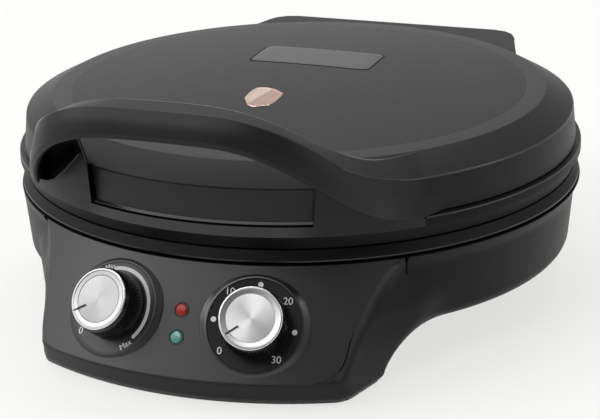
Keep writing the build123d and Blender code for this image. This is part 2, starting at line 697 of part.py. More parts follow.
with BuildPart() as panel_nuts:
    for pl in (PT, PM):
        with BuildSketch(pl.offset(-5.9)):
            RegularPolygon(7.0, 6)
            Circle(4.2, mode=Mode.SUBTRACT)
        extrude(amount=2.4)
panel_nuts.part.label = "panel_nuts"

with BuildPart() as red_lamp_lens:
    with BuildSketch(PL[0].offset(-5.5)):
        Circle(4.2)
    extrude(amount=6.1)
    with BuildSketch(PL[0].offset(0.6)):
        Circle(4.2)
    with BuildSketch(PL[0].offset(1.7)):
        Circle(3.3)
    loft(ruled=True)
red_lamp_lens.part.label = "red_lamp_lens"

with BuildPart() as green_lamp_lens:
    with BuildSketch(PL[1].offset(-5.5)):
        Circle(4.2)
    extrude(amount=6.1)
    with BuildSketch(PL[1].offset(0.6)):
        Circle(4.2)
    with BuildSketch(PL[1].offset(1.7)):
        Circle(3.3)
    loft(ruled=True)
green_lamp_lens.part.label = "green_lamp_lens"

with BuildPart() as neon_lamps:
    for pl in PL:
        with BuildSketch(pl.offset(-20.0)):
            Circle(2.8)
        extrude(amount=14.4)
neon_lamps.part.label = "neon_lamps"

with BuildPart() as lamp_holder:
    with BuildSketch(PL[0].offset(-12.0)):
        with Locations((0, -7.5)):
            RectangleRounded(16.0, 32.0, 2.0)
    extrude(amount=6.4)
    for pl in PL:
        with BuildSketch(pl.offset(-24.0)):
            Circle(2.85)
        extrude(amount=24.0, mode=Mode.SUBTRACT)
lamp_holder.part.label = "lamp_holder"

with BuildPart() as terminal_block:
    with Locations((0, Y0 + 170.0, 36.0)):
        Box(44.0, 13.0, 12.0)
    for x in (-14.0, 0.0, 14.0):
        with Locations((x, Y0 + 170.0, 36.0)):
            Cylinder(1.6, 20.0, rotation=(90, 0, 0), mode=Mode.SUBTRACT)
        with Locations((x, Y0 + 170.0, 41.0)):
            Cylinder(2.4, 4.0, mode=Mode.SUBTRACT)
terminal_block.part.label = "terminal_block"

with BuildPart() as terminal_screws:
    for x in (-14.0, 0.0, 14.0):
        with Locations((x, Y0 + 170.0, 40.3)):
            Cylinder(2.3, 1.8)
terminal_screws.part.label = "terminal_screws"

with BuildPart() as cord_gland:
    with Locations((0, Y0 + 180.5, GLAND_Z)):
        Cylinder(6.45, 4.6, rotation=(90, 0, 0))
    with Locations((0, Y0 + 183.5, GLAND_Z)):
        Cylinder(8.5, 3.0, rotation=(90, 0, 0))
    with Locations((0, Y0 + 181.6, GLAND_Z)):
        Cylinder(4.0, 12.0, rotation=(90, 0, 0), mode=Mode.SUBTRACT)
cord_gland.part.label = "cord_gland"

os.makedirs("parts", exist_ok=True)
for piece in (lid_shell, lid_inset_plate, lid_badge, lid_handle, lid_fascia, upper_rim_ring, rim_screws, upper_plate,
              upper_element, upper_clamps, upper_heat_shield, lid_hinge_cover, lid_hinge_arms,
              base_shell, control_panel, leg_cover, cover_screws, rubber_feet, lower_rim_ring, lower_plate,
              lower_element, lower_clamps, lower_heat_shield, base_hinge_brackets, hinge_pins,
              temp_dial_plate, timer_dial_plate, temp_knob_body, temp_knob_cap, temp_shaft,
              timer_knob_body, timer_knob_cap, timer_shaft, thermostat, timer_mechanism, panel_nuts,
              red_lamp_lens, green_lamp_lens, neon_lamps, lamp_holder, terminal_block, terminal_screws, cord_gland):
    export_step(piece.part, "parts/" + piece.part.label + ".step")
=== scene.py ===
import bpy
import bmesh
import math
import numpy as np
from mathutils import Matrix, Vector


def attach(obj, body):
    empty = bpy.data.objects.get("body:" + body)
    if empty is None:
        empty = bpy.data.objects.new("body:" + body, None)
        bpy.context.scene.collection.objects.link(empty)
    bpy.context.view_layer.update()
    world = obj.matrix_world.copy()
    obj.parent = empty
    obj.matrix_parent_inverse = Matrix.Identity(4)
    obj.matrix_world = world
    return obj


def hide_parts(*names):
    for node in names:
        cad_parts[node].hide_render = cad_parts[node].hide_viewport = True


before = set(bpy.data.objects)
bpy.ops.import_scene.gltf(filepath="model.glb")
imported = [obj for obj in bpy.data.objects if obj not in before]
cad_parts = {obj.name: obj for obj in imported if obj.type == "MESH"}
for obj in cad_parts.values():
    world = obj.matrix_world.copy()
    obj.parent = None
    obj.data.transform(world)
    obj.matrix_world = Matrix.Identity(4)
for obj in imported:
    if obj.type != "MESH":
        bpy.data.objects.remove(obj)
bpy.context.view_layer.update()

# Millimetres in the code below. x and z are the row frame's; y is counted from the plates' vertical axis,
# which stands at Y0. Everything becomes metres in the row frame when a mesh is made.
Y0 = 9.15
D2R = math.pi / 180.0


def to_m(p):
    p = np.asarray(p, float).reshape(-1, 3)
    return np.stack([p[:, 0], p[:, 1] + Y0, p[:, 2]], 1) / 1000.0


def make(name, verts, faces, sharp=35.0, raw=False):
    """Mesh object from millimetre points, smooth shaded, with sharp edges above an angle."""
    me = bpy.data.meshes.new(name)
    v = np.asarray(verts, float) if raw else to_m(verts)
    me.from_pydata([tuple(c) for c in v], [], [tuple(int(i) for i in f) for f in faces])
    me.validate()
    me.update()
    me.polygons.foreach_set("use_smooth", np.ones(len(me.polygons), bool))
    if sharp:
        me.set_sharp_from_angle(angle=sharp * D2R)
    ob = bpy.data.objects.new(name, me)
    bpy.context.scene.collection.objects.link(ob)
    return ob


def outward(ob):
    bm = bmesh.new()
    bm.from_mesh(ob.data)
    bmesh.ops.recalc_face_normals(bm, faces=bm.faces)
    bm.to_mesh(ob.data)
    bm.free()
    return ob


def bevel(ob, width, segments=2, angle=30.0):
    m = ob.modifiers.new("edges", "BEVEL")
    m.width = width / 1000.0
    m.segments = segments
    m.limit_method = "ANGLE"
    m.angle_limit = angle * D2R
    m.harden_normals = True
    return ob


def place(ob, body, material, slot, *nodes):
    ob.data.materials.clear()
    ob.data.materials.append(material)
    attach(ob, body)
    if nodes:
        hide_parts(*nodes)
    return ob


def arc_round(points, close=False):
    """Polyline of (a, b, radius): each corner with a radius becomes an arc."""
    n = len(points)
    out = []
    for i, (a, b, rad) in enumerate(points):
        if rad <= 0 or (not close and i in (0, n - 1)):
            out.append((a, b))
            continue
        p = np.array([a, b], float)
        q = np.array(points[(i - 1) % n][:2], float)
        s = np.array(points[(i + 1) % n][:2], float)
        u = q - p
        w = s - p
        lu, lw = np.linalg.norm(u), np.linalg.norm(w)
        u, w = u / lu, w / lw
        c = np.clip(u @ w, -1, 1)
        half = math.acos(c) / 2
        if half > math.pi / 2 - 0.01:
            out.append((a, b))
            continue
        t = min(rad / math.tan(half), lu * 0.48, lw * 0.48)
        rr = t * math.tan(half)
        turn = math.pi - 2 * half
        k = max(2, int(math.ceil(turn / (11 * D2R))))
        centre = p + (u + w) / np.linalg.norm(u + w) * (rr / math.sin(half))
        p0, p1 = p + u * t, p + w * t
        a0 = math.atan2(*(p0 - centre)[::-1])
        a1 = math.atan2(*(p1 - centre)[::-1])
        d = (a1 - a0 + math.pi) % (2 * math.pi) - math.pi
        for j in range(k + 1):
            an = a0 + d * j / k
            out.append((centre[0] + rr * math.cos(an), centre[1] + rr * math.sin(an)))
    return out


def curve_points(p0, p1, p2, n):
    """Arc through three (r, z) points, as n + 1 points."""
    (x0, y0), (x1, y1), (x2, y2) = p0, p1, p2
    d = 2 * (x0 * (y1 - y2) + x1 * (y2 - y0) + x2 * (y0 - y1))
    ux = ((x0**2 + y0**2) * (y1 - y2) + (x1**2 + y1**2) * (y2 - y0) + (x2**2 + y2**2) * (y0 - y1)) / d
    uy = ((x0**2 + y0**2) * (x2 - x1) + (x1**2 + y1**2) * (x0 - x2) + (x2**2 + y2**2) * (x1 - x0)) / d
    r = math.hypot(x0 - ux, y0 - uy)
    a0 = math.atan2(y0 - uy, x0 - ux)
    a2 = math.atan2(y2 - uy, x2 - ux)
    d = (a2 - a0 + math.pi) % (2 * math.pi) - math.pi
    return [(ux + r * math.cos(a0 + d * i / n), uy + r * math.sin(a0 + d * i / n)) for i in range(n + 1)]


def lathe(name, profile, closed=True, steps=360, shape=None, arc=None, sharp=35.0):
    """Turned piece about the plates' axis; azimuth 0 is the front, positive to the right (+X).
    shape(az, r, z) may change the radius. arc = (from, to) degrees makes a part ring with end caps."""
    pts = [(r, z) for r, z in profile]
    pole0 = pts[0][0] < 1e-6
    pole1 = pts[-1][0] < 1e-6
    ring = arc is None
    az = np.linspace(-180, 180, steps, endpoint=False) if ring else np.linspace(arc[0], arc[1], steps)
    R = np.array([p[0] for p in pts])
    Z = np.array([p[1] for p in pts])
    A, RR = np.meshgrid(az, R, indexing="ij")
    ZZ = np.broadcast_to(Z, RR.shape).copy()
    RR = RR.copy()
    if shape is not None:
        RR, ZZ = shape(A, RR, ZZ)
    X = RR * np.sin(A * D2R)
    Y = -RR * np.cos(A * D2R)
    V = np.stack([X, Y, ZZ], -1).reshape(-1, 3)
    n, m = len(az), len(pts)
    faces = []
    rows = range(n if ring else n - 1)
    cols = m if (closed and not pole0 and not pole1) else m - 1
    for i in rows:
        i2 = (i + 1) % n
        for j in range(cols):
            j2 = (j + 1) % m
            a, b, c, d = i * m + j, i2 * m + j, i2 * m + j2, i * m + j2
            if pole0 and j == 0:
                faces.append((0, c, d))
            elif pole1 and j2 == m - 1:
                faces.append((a, b, m - 1))
            else:
                faces.append((a, b, c, d))
    if not ring:
        faces.append(tuple(range(m)))
        faces.append(tuple((n - 1) * m + j for j in reversed(range(m))))
    ob = make(name, V, faces, sharp=None)
    outward(ob)
    ob.data.set_sharp_from_angle(angle=sharp * D2R)
    return ob


def set_face_material(ob, mat, test):
    """Give the faces whose centre passes test(r, z, az) a second material. Lengths in mm, azimuth in degrees."""
    ob.data.materials.append(mat)
    k = len(ob.data.materials) - 1
    for poly in ob.data.polygons:
        x, y, z = poly.center[0] * 1000, poly.center[1] * 1000 - Y0, poly.center[2] * 1000
        if test(math.hypot(x, y), z, math.degrees(math.atan2(x, -y))):
            poly.material_index = k


def smooth01(t):
    t = np.clip(t, 0, 1)
    return t * t * (3 - 2 * t)


def spline(x, y):
    """Natural cubic spline, as a function."""
    x = np.asarray(x, float)
    y = np.asarray(y, float)
    n = len(x)
    h = np.diff(x)
    A = np.zeros((n, n))
    b = np.zeros(n)
    A[0, 0] = A[-1, -1] = 1
    for i in range(1, n - 1):
        A[i, i - 1], A[i, i], A[i, i + 1] = h[i - 1], 2 * (h[i - 1] + h[i]), h[i]
        b[i] = 3 * ((y[i + 1] - y[i]) / h[i] - (y[i] - y[i - 1]) / h[i - 1])
    c = np.linalg.solve(A, b)
    d = np.diff(c) / (3 * h)
    bb = np.diff(y) / h - h * (2 * c[:-1] + c[1:]) / 3

    def f(t):
        t = np.asarray(t, float)
        i = np.clip(np.searchsorted(x, t) - 1, 0, n - 2)
        u = t - x[i]
        return y[i] + bb[i] * u + c[i] * u**2 + d[i] * u**3
    return f


# ------------------------------------------------------------------ materials

def new_material(name):
    m = bpy.data.materials.new(name)
    m.use_nodes = True
    nt = m.node_tree
    return m, nt, nt.nodes["Principled BSDF"]


def tex_coord(nt, which="Object"):
    return nt.nodes.new("ShaderNodeTexCoord").outputs[which]


def noise(nt, coord, scale, detail=2.0, rough=0.5):
    n = nt.nodes.new("ShaderNodeTexNoise")
    n.inputs["Scale"].default_value = scale
    n.inputs["Detail"].default_value = detail
    n.inputs["Roughness"].default_value = rough
    nt.links.new(coord, n.inputs["Vector"])
    return n.outputs["Fac"]


def remap(nt, value, lo, hi, a=0.0, b=1.0):
    n = nt.nodes.new("ShaderNodeMapRange")
    n.inputs["From Min"].default_value = a
    n.inputs["From Max"].default_value = b
    n.inputs["To Min"].default_value = lo
    n.inputs["To Max"].default_value = hi
    nt.links.new(value, n.inputs["Value"])
    return n.outputs["Result"]


def mix_colour(nt, fac, a, b):
    n = nt.nodes.new("ShaderNodeMix")
    n.data_type = "RGBA"
    n.inputs[6].default_value = (*a, 1)
    n.inputs[7].default_value = (*b, 1)
    nt.links.new(fac, n.inputs[0])
    return n.outputs[2]


def add_bump(nt, bsdf, heights):
    """Chain of bumps from (height socket, strength, distance in metres)."""
    last = None
    for h, strength, dist in heights:
        b = nt.nodes.new("ShaderNodeBump")
        b.inputs["Strength"].default_value = strength
        b.inputs["Distance"].default_value = dist
        nt.links.new(h, b.inputs["Height"])
        if last is not None:
            nt.links.new(last, b.inputs["Normal"])
        last = b.outputs["Normal"]
    nt.links.new(last, bsdf.inputs["Normal"])


def grain_plastic(name, colour, rough, spread=0.10, grain=0.14, spec=0.5, coarse=1900.0):
    """Moulded plastic with a fine spark-eroded grain and a faint unevenness of colour and gloss."""
    m, nt, b = new_material(name)
    co = tex_coord(nt)
    broad = noise(nt, co, 22.0, 3.0, 0.55)
    fine = noise(nt, co, coarse, 2.0, 0.6)
    speck = noise(nt, co, 620.0, 2.0, 0.5)
    lo = tuple(c * (1 - spread) for c in colour)
    hi = tuple(c * (1 + spread) for c in colour)
    mixed = nt.nodes.new("ShaderNodeMath")
    mixed.operation = "MULTIPLY_ADD"
    mixed.inputs[1].default_value = 0.45
    nt.links.new(fine, mixed.inputs[0])
    half = nt.nodes.new("ShaderNodeMath")
    half.operation = "MULTIPLY"
    half.inputs[1].default_value = 0.55
    nt.links.new(broad, half.inputs[0])
    nt.links.new(half.outputs[0], mixed.inputs[2])
    nt.links.new(mix_colour(nt, remap(nt, mixed.outputs[0], 0, 1, 0.3, 0.7), lo, hi), b.inputs["Base Color"])
    nt.links.new(remap(nt, speck, rough - 0.03, rough + 0.03, 0.3, 0.7), b.inputs["Roughness"])
    b.inputs["Specular IOR Level"].default_value = spec
    add_bump(nt, b, [(fine, grain, 0.00006), (speck, grain * 0.25, 0.0001)])
    return m


def two_tone_and_painted_light_plastic(name, colour_a, spec_a, colour_b, spec_b, rough, grain=0.14):
    """Grained plastic that changes gently between two tones along a point attribute: a real second tone in places, and
    painted light, a lighter and glossier tone, in others.
    """
    m, nt, b = new_material(name)
    co = tex_coord(nt)
    broad = noise(nt, co, 22.0, 3.0, 0.55)
    fine_n = noise(nt, co, 1900.0, 2.0, 0.6)
    speck = noise(nt, co, 620.0, 2.0, 0.5)
    at = nt.nodes.new("ShaderNodeAttribute")
    at.attribute_name = "finish_and_painted_light"
    base_col = mix_colour(nt, at.outputs["Fac"], colour_a, colour_b)
    tint = nt.nodes.new("ShaderNodeMix")
    tint.data_type = "RGBA"
    tint.blend_type = "MULTIPLY"
    tint.inputs[0].default_value = 1.0
    nt.links.new(base_col, tint.inputs[6])
    nt.links.new(mix_colour(nt, remap(nt, broad, 0, 1, 0.3, 0.7), (0.92, 0.92, 0.92), (1.0, 1.0, 1.0)), tint.inputs[7])
    nt.links.new(tint.outputs[2], b.inputs["Base Color"])
    nt.links.new(remap(nt, speck, rough - 0.03, rough + 0.03, 0.3, 0.7), b.inputs["Roughness"])
    nt.links.new(remap(nt, at.outputs["Fac"], spec_a, spec_b), b.inputs["Specular IOR Level"])
    add_bump(nt, b, [(fine_n, grain, 0.00006), (speck, grain * 0.25, 0.0001)])
    return m


def finish_and_painted_light(ob, f):
    """Point attribute from f(r, z, az), the mix between a plastic's two tones: a real second tone in places, painted
    light in others.
    """
    at = ob.data.attributes.new("finish_and_painted_light", "FLOAT", "POINT")
    co = np.empty(len(ob.data.vertices) * 3)
    ob.data.vertices.foreach_get("co", co)
    co = co.reshape(-1, 3) * 1000.0
    x, y, z = co[:, 0], co[:, 1] - Y0, co[:, 2]
    at.data.foreach_set("value", np.asarray(f(np.hypot(x, y), z, np.degrees(np.arctan2(x, -y))), np.float32))


def plain_plastic(name, colour, rough, spec=0.5, coat=0.0):
    m, nt, b = new_material(name)
    co = tex_coord(nt)
    n = noise(nt, co, 35.0, 3.0)
    f = noise(nt, co, 900.0, 2.0)
    lo = tuple(c * 0.93 for c in colour)
    hi = tuple(c * 1.07 for c in colour)
    nt.links.new(mix_colour(nt, remap(nt, n, 0, 1, 0.3, 0.7), lo, hi), b.inputs["Base Color"])
    nt.links.new(remap(nt, n, rough - 0.03, rough + 0.03, 0.3, 0.7), b.inputs["Roughness"])
    b.inputs["Specular IOR Level"].default_value = spec
    b.inputs["Coat Weight"].default_value = coat
    b.inputs["Coat Roughness"].default_value = 0.12
    add_bump(nt, b, [(f, 0.08, 0.00004)])
    return m


def metal(name, colour, rough, brushed=0.0):
    m, nt, b = new_material(name)
    co = tex_coord(nt)
    n = noise(nt, co, 120.0, 4.0)
    f = noise(nt, co, 1400.0, 3.0)
    lo = tuple(c * 0.9 for c in colour)
    nt.links.new(mix_colour(nt, remap(nt, n, 0, 1, 0.3, 0.7), lo, colour), b.inputs["Base Color"])
    nt.links.new(remap(nt, f, rough - 0.05, rough + 0.07, 0.3, 0.7), b.inputs["Roughness"])
    b.inputs["Metallic"].default_value = 1.0
    if brushed:
        b.inputs["Anisotropic"].default_value = brushed
    add_bump(nt, b, [(f, 0.06, 0.00004)])
    return m


def spun_metal(name, colour, rough, aniso, pitch, depth):
    """Turned metal face: fine concentric tool marks round the piece's own z axis."""
    m, nt, b = new_material(name)
    co = tex_coord(nt)
    sep = nt.nodes.new("ShaderNodeSeparateXYZ")
    nt.links.new(co, sep.inputs[0])
    flat = nt.nodes.new("ShaderNodeCombineXYZ")
    nt.links.new(sep.outputs[0], flat.inputs[0])
    nt.links.new(sep.outputs[1], flat.inputs[1])
    length = nt.nodes.new("ShaderNodeVectorMath")
    length.operation = "LENGTH"
    nt.links.new(flat.outputs[0], length.inputs[0])
    rings = nt.nodes.new("ShaderNodeMath")
    rings.operation = "MULTIPLY"
    rings.inputs[1].default_value = 2 * math.pi / pitch
    nt.links.new(length.outputs["Value"], rings.inputs[0])
    wob = noise(nt, co, 900.0, 2.0)
    add = nt.nodes.new("ShaderNodeMath")
    add.operation = "MULTIPLY_ADD"
    add.inputs[1].default_value = 1.2
    nt.links.new(wob, add.inputs[0])
    nt.links.new(rings.outputs[0], add.inputs[2])
    wave = nt.nodes.new("ShaderNodeMath")
    wave.operation = "SINE"
    nt.links.new(add.outputs[0], wave.inputs[0])
    w01 = remap(nt, wave.outputs[0], 0.0, 1.0, -1.0, 1.0)
    lo = tuple(c * 0.86 for c in colour)
    nt.links.new(mix_colour(nt, w01, lo, colour), b.inputs["Base Color"])
    nt.links.new(remap(nt, w01, rough - 0.03, rough + 0.04), b.inputs["Roughness"])
    b.inputs["Metallic"].default_value = 1.0
    b.inputs["Anisotropic"].default_value = aniso
    tan = nt.nodes.new("ShaderNodeTangent")
    tan.direction_type = "RADIAL"
    tan.axis = "Z"
    nt.links.new(tan.outputs[0], b.inputs["Tangent"])
    add_bump(nt, b, [(w01, depth, 0.00004)])
    return m


def lens_plastic(name, colour, coat, spec=0.5):
    m, nt, b = new_material(name)
    co = tex_coord(nt)
    v = nt.nodes.new("ShaderNodeTexVoronoi")
    v.inputs["Scale"].default_value = 900.0
    nt.links.new(co, v.inputs["Vector"])
    lo = tuple(c * 0.7 for c in colour)
    nt.links.new(mix_colour(nt, remap(nt, v.outputs["Distance"], 0, 1, 0.0, 0.8), colour, lo), b.inputs["Base Color"])
    b.inputs["Roughness"].default_value = 0.22
    b.inputs["Subsurface Weight"].default_value = 0.25
    b.inputs["Subsurface Scale"].default_value = 0.002
    b.inputs["Coat Weight"].default_value = coat
    b.inputs["Coat Roughness"].default_value = 0.08
    b.inputs["Specular IOR Level"].default_value = spec
    add_bump(nt, b, [(v.outputs["Distance"], 0.35, 0.0002)])
    return m


SHELL = grain_plastic("shell_grain", (0.0068, 0.0068, 0.0070), 0.45, spec=0.16)
# housing: the sloped front takes the control panel's tone; the bottom lip at the front is painted lighter and
# glossier, a painted reflection of the floor
HOUSING_WITH_PAINTED_SHEEN = two_tone_and_painted_light_plastic("housing_grain_and_painted_sheen", (0.0068, 0.0068, 0.0070), 0.16, (0.0120, 0.0120, 0.0124), 0.52, 0.45)
# surround: the band under the window is painted lighter and glossier, painted light where the handle's shade falls
SURROUND_WITH_PAINTED_LIGHT = two_tone_and_painted_light_plastic("surround_grain_and_painted_light", (0.0130, 0.0130, 0.0134), 0.27, (0.0240, 0.0240, 0.0245), 0.55, 0.46)
LID = grain_plastic("lid_grain", (0.0120, 0.0120, 0.0123), 0.43, spec=0.17)
RING = grain_plastic("ring_grain", (0.0150, 0.0150, 0.0154), 0.43, spec=0.235)
PANEL = grain_plastic("panel_grain", (0.0130, 0.0130, 0.0134), 0.46, spec=0.27)
CONTROL = grain_plastic("control_grain", (0.0120, 0.0120, 0.0124), 0.45, spec=0.52)
EDGE = plain_plastic("polished_edge", (0.020, 0.020, 0.0205), 0.24, spec=0.8, coat=0.25)
# lighter, glossier plastic for a painted highlight on edges
LID_EDGE_HIGHLIGHT = plain_plastic("lid_edge_painted_highlight", (0.018, 0.018, 0.0184), 0.34, spec=0.5)
# pale grey: a painted highlight on the black handle's left edges
PAINTED_EDGE_HIGHLIGHT = plain_plastic("painted_edge_highlight", (0.24, 0.24, 0.24), 0.3, spec=0.7)
# lid wall inside the window: a lighter, glossier copy of the lid plastic, painted light under the handle's shade
WINDOW_PAINTED_LIGHT = grain_plastic("window_grain_painted_light", (0.0180, 0.0180, 0.0184), 0.46, spec=0.34)
FLANGE = grain_plastic("flange_grain", (0.0080, 0.0080, 0.0082), 0.46, spec=0.10)
INSET = grain_plastic("inset_grain", (0.060, 0.060, 0.061), 0.46, spec=0.3)
RIM = grain_plastic("rim_grain", (0.0060, 0.0060, 0.0062), 0.52, spec=0.13)
RIM_EDGE = plain_plastic("rim_edge", (0.010, 0.010, 0.0103), 0.32, spec=0.42)
# near-black: the dark joints (panel seam, rim slits, the inset's gap), and painted shade in the recesses behind the
# cheeks, the handle's pockets and the surround's cut edges
DARK_GAP_AND_SHADE = plain_plastic("dark_gap_and_painted_shade", (0.0015, 0.0015, 0.0015), 0.75, spec=0.08)
# left dial face: a lighter, glossier copy of the dial plastic, painted light
DIAL_L_PAINTED_LIGHT = grain_plastic("dial_face_left_painted_light", (0.012, 0.012, 0.0124), 0.45, grain=0.16, spec=0.48)
DIAL_R = grain_plastic("dial_face_right", (0.007, 0.007, 0.0072), 0.42, grain=0.2, spec=0.22)
SHOULDER = plain_plastic("dial_shoulder", (0.006, 0.006, 0.0061), 0.30, spec=0.75)
KNOB = plain_plastic("knob_gloss", (0.0030, 0.0030, 0.0032), 0.26, spec=0.3, coat=0.05)
HINGE = grain_plastic("hinge_grain", (0.010, 0.010, 0.0104), 0.5, spec=0.25)
PRINT = plain_plastic("printed_white", (0.66, 0.66, 0.65), 0.5)
MARK = plain_plastic("pointer_black", (0.006, 0.006, 0.006), 0.5, spec=0.2)
BAND = plain_plastic("printed_band", (0.50, 0.50, 0.50), 0.42)
# the left cap's face and rim are darker copies of the right cap's metal: painted shade
SPUN_SHADED_LEFT = spun_metal("spun_face_painted_shade", (0.38, 0.38, 0.38), 0.5, 0.55, 0.0010, 0.4)
SPUN_R = spun_metal("spun_face_right", (0.74, 0.74, 0.74), 0.52, 0.80, 0.0010, 0.4)
SPUN_RIM_SHADED_LEFT = spun_metal("spun_rim_painted_shade", (0.36, 0.36, 0.36), 0.34, 0.3, 0.0010, 0.1)
SPUN_RIM_R = spun_metal("spun_rim_right", (0.50, 0.50, 0.50), 0.32, 0.4, 0.0010, 0.1)
CAP_EDGE = metal("cap_edge", (0.80, 0.80, 0.80), 0.22)
ROSE = metal("rose_gold", (0.68, 0.52, 0.45), 0.3)
# darker copy of the rose gold: painted shade on the badge's right part
ROSE_SHADED = metal("rose_gold_painted_shade", (0.46, 0.30, 0.245), 0.34)
STEEL = metal("screw_steel", (0.55, 0.55, 0.56), 0.32)
TUBE = metal("element_steel", (0.20, 0.19, 0.18), 0.42)
SHEET = metal("shield_metal", (0.66, 0.66, 0.67), 0.34, 0.3)
RUBBER = grain_plastic("foot_rubber", (0.012, 0.012, 0.012), 0.78, grain=0.5, spec=0.3)
RED = lens_plastic("red_lens", (0.38, 0.030, 0.018), 0.12, 0.25)
TEAL = lens_plastic("green_lens", (0.085, 0.31, 0.28), 0.55)
CREAM = plain_plastic("control_cream", (0.62, 0.60, 0.52), 0.5)
CERAMIC = plain_plastic("control_ceramic", (0.68, 0.66, 0.58), 0.45)


def nonstick_material():
    """Dark non-stick coating with fine pale flecks."""
    m, nt, b = new_material("nonstick_coating")
    co = tex_coord(nt)
    v = nt.nodes.new("ShaderNodeTexVoronoi")
    v.inputs["Scale"].default_value = 700.0
    nt.links.new(co, v.inputs["Vector"])
    r = nt.nodes.new("ShaderNodeValToRGB")
    r.color_ramp.elements[0].position = 0.06
    r.color_ramp.elements[0].color = (0.11, 0.11, 0.11, 1)
    r.color_ramp.elements[1].position = 0.13
    r.color_ramp.elements[1].color = (0.014, 0.014, 0.015, 1)
    nt.links.new(v.outputs["Distance"], r.inputs["Fac"])
    nt.links.new(r.outputs["Color"], b.inputs["Base Color"])
    n = noise(nt, co, 260.0, 3.0)
    nt.links.new(remap(nt, n, 0.34, 0.44, 0.3, 0.7), b.inputs["Roughness"])
    b.inputs["Metallic"].default_value = 0.15
    add_bump(nt, b, [(n, 0.12, 0.0001)])
    return m


NONSTICK = nonstick_material()

# ------------------------------------------------------------------ lid

Z_FL, R_FL = 86.0, 172.5
Z_TOP = 129.0


Z_DOME_END = 122.75


def dome_z(r):
    h = Z_TOP - Z_DOME_END
    rad = (139.0**2 + h**2) / (2 * h)
    return Z_TOP - rad + np.sqrt(rad**2 - np.asarray(r, float) ** 2)


def lid_shape(A, R, Z):
    a = np.abs(A)
    R = R.copy()
    # the flange gives way to the front surround
    cut = (a < 43.2) & (Z < 91.4) & (R > 169.6)
    R[cut] = 169.5
    # the crease stands a little higher towards the back
    w = smooth01((a - 70.0) / 45.0)
    top = (R > 164.5) & (Z > 108.0)
    left = smooth01((-A - 55.0) / 30.0) * smooth01((165.0 + A) / 25.0)
    R = R + np.where(top, 0.5 * w + 1.3 * left, 0.0)
    Z = Z + np.where(top, 0.9 * w + 0.7 * left, 0.0)
    return R, Z


dome = [(r, float(dome_z(r))) for r in np.linspace(0, 138.2, 47)]
outer = dome + arc_round([(138.2, float(dome_z(138.2)), 0), (139.0, Z_DOME_END, 0.6), (150.5, 122.1, 1.2),
                          (167.0, 111.7, 1.5), (169.2, 92.6, 0),
                          (166.9, 92.3, 0), (166.9, 91.3, 0),
                          (172.5, 91.2, 0.7), (172.5, 86.0, 0.4), (164.0, 86.0, 0.3), (164.2, 110.2, 2.0),
                          (149.3, 119.0, 2.0), (138.6, 120.2, 2.0), (100.0, 123.2, 0)])[1:]
outer += [(60.0, 125.2), (30.0, 126.1), (0.0, 126.4)]
lid = lathe("lid_shell_skin", outer, steps=720, shape=lid_shape)
place(lid, "lid", LID, "shell_plastic", "lid_shell")
set_face_material(lid, RING, lambda r, z, a: 139.3 < r < 151.2 and z > 121.6)
# painted light: the wall seen in the window is lighter, against the handle's shade
set_face_material(lid, WINDOW_PAINTED_LIGHT, lambda r, z, a: abs(a) < 24.0 and 92.4 < z < 111.0 and r > 165.0)
set_face_material(lid, FLANGE, lambda r, z, a: r > 171.8 and z < 91.0)
# painted highlight: lighter, glossier faces on the crease's right side, and all round the flange's outer edge
set_face_material(lid, LID_EDGE_HIGHLIGHT, lambda r, z, a: (math.hypot(r - 167.0, z - 111.7) < 1.15 and 44.2 < a < 170.0) or (math.hypot(r - 172.4, z - 91.1) < 0.8 and r > 171.6))

# bead along the foot of the wall, seen in the surround's window
foot = lathe("window_bead", arc_round([(168.6, 94.0, 0), (169.3, 93.9, 0.2), (170.9, 92.85, 0.25), (170.9, 92.45, 0.15), (168.6, 92.3, 0)], True),
             steps=120, arc=(-23.2, 22.6))
place(foot, "lid", LID, "shell_plastic")
set_face_material(foot, EDGE, lambda r, z, a: z > 92.7)

# recess behind the two cheeks of the surround, seen past the window's left side, near-black as painted shade
for side, a0, a1 in (("left", -40.0, -22.1), ("right", 23.0, 40.0)):
    prof = arc_round([(168.0, 93.2, 0), (169.62, 93.0, 0.1), (169.62, 94.0, 0.1), (167.4, 112.4, 0.2), (165.5, 112.6, 0)])
    rec = lathe("painted_shade_recess_" + side, prof, closed=False, steps=40, arc=(a0, a1))
    near, far = (a1, a0) if side == "left" else (a0, a1)
    for v in rec.data.vertices:                            # narrows to nothing upwards
        x, y, z = v.co[0] * 1000, v.co[1] * 1000 - Y0, v.co[2] * 1000
        r, a = math.hypot(x, y), math.degrees(math.atan2(x, -y))
        shift = 1.7 * float(smooth01((z - 93.5) / 16.0)) * (1 if side == "right" else -1)
        a = (a + shift * (a - far) / (near - far)) * D2R
        v.co = ((r * math.sin(a)) / 1000, (-r * math.cos(a) + Y0) / 1000, z / 1000)
    place(rec, "lid", DARK_GAP_AND_SHADE, "rim_plastic")


def patch(name, P, sharp=35.0, thick=0.0, flip=False):
    """Grid patch from points P[i, j]."""
    n, m = P.shape[:2]
    faces = []
    for i in range(n - 1):
        for j in range(m - 1):
            f = (i * m + j, (i + 1) * m + j, (i + 1) * m + j + 1, i * m + j + 1)
            faces.append(f[::-1] if flip else f)
    ob = make(name, P.reshape(-1, 3), faces, sharp=sharp)
    if thick:
        s = ob.modifiers.new("wall", "SOLIDIFY")
        s.thickness = thick / 1000.0
        s.offset = -1.0
        s.use_even_offset = True
    return ob


def rounded_rect(cx, cy, w, h, r, n=10):
    out = []
    for sx, sy, a0 in ((1, 1, 0), (-1, 1, 90), (-1, -1, 180), (1, -1, 270)):
        for k in range(n + 1):
            a = (a0 + 90.0 * k / n) * D2R
            out.append((cx + sx * (w / 2 - r) + r * math.cos(a), cy + sy * (h / 2 - r) + r * math.sin(a)))
    return np.array(out)


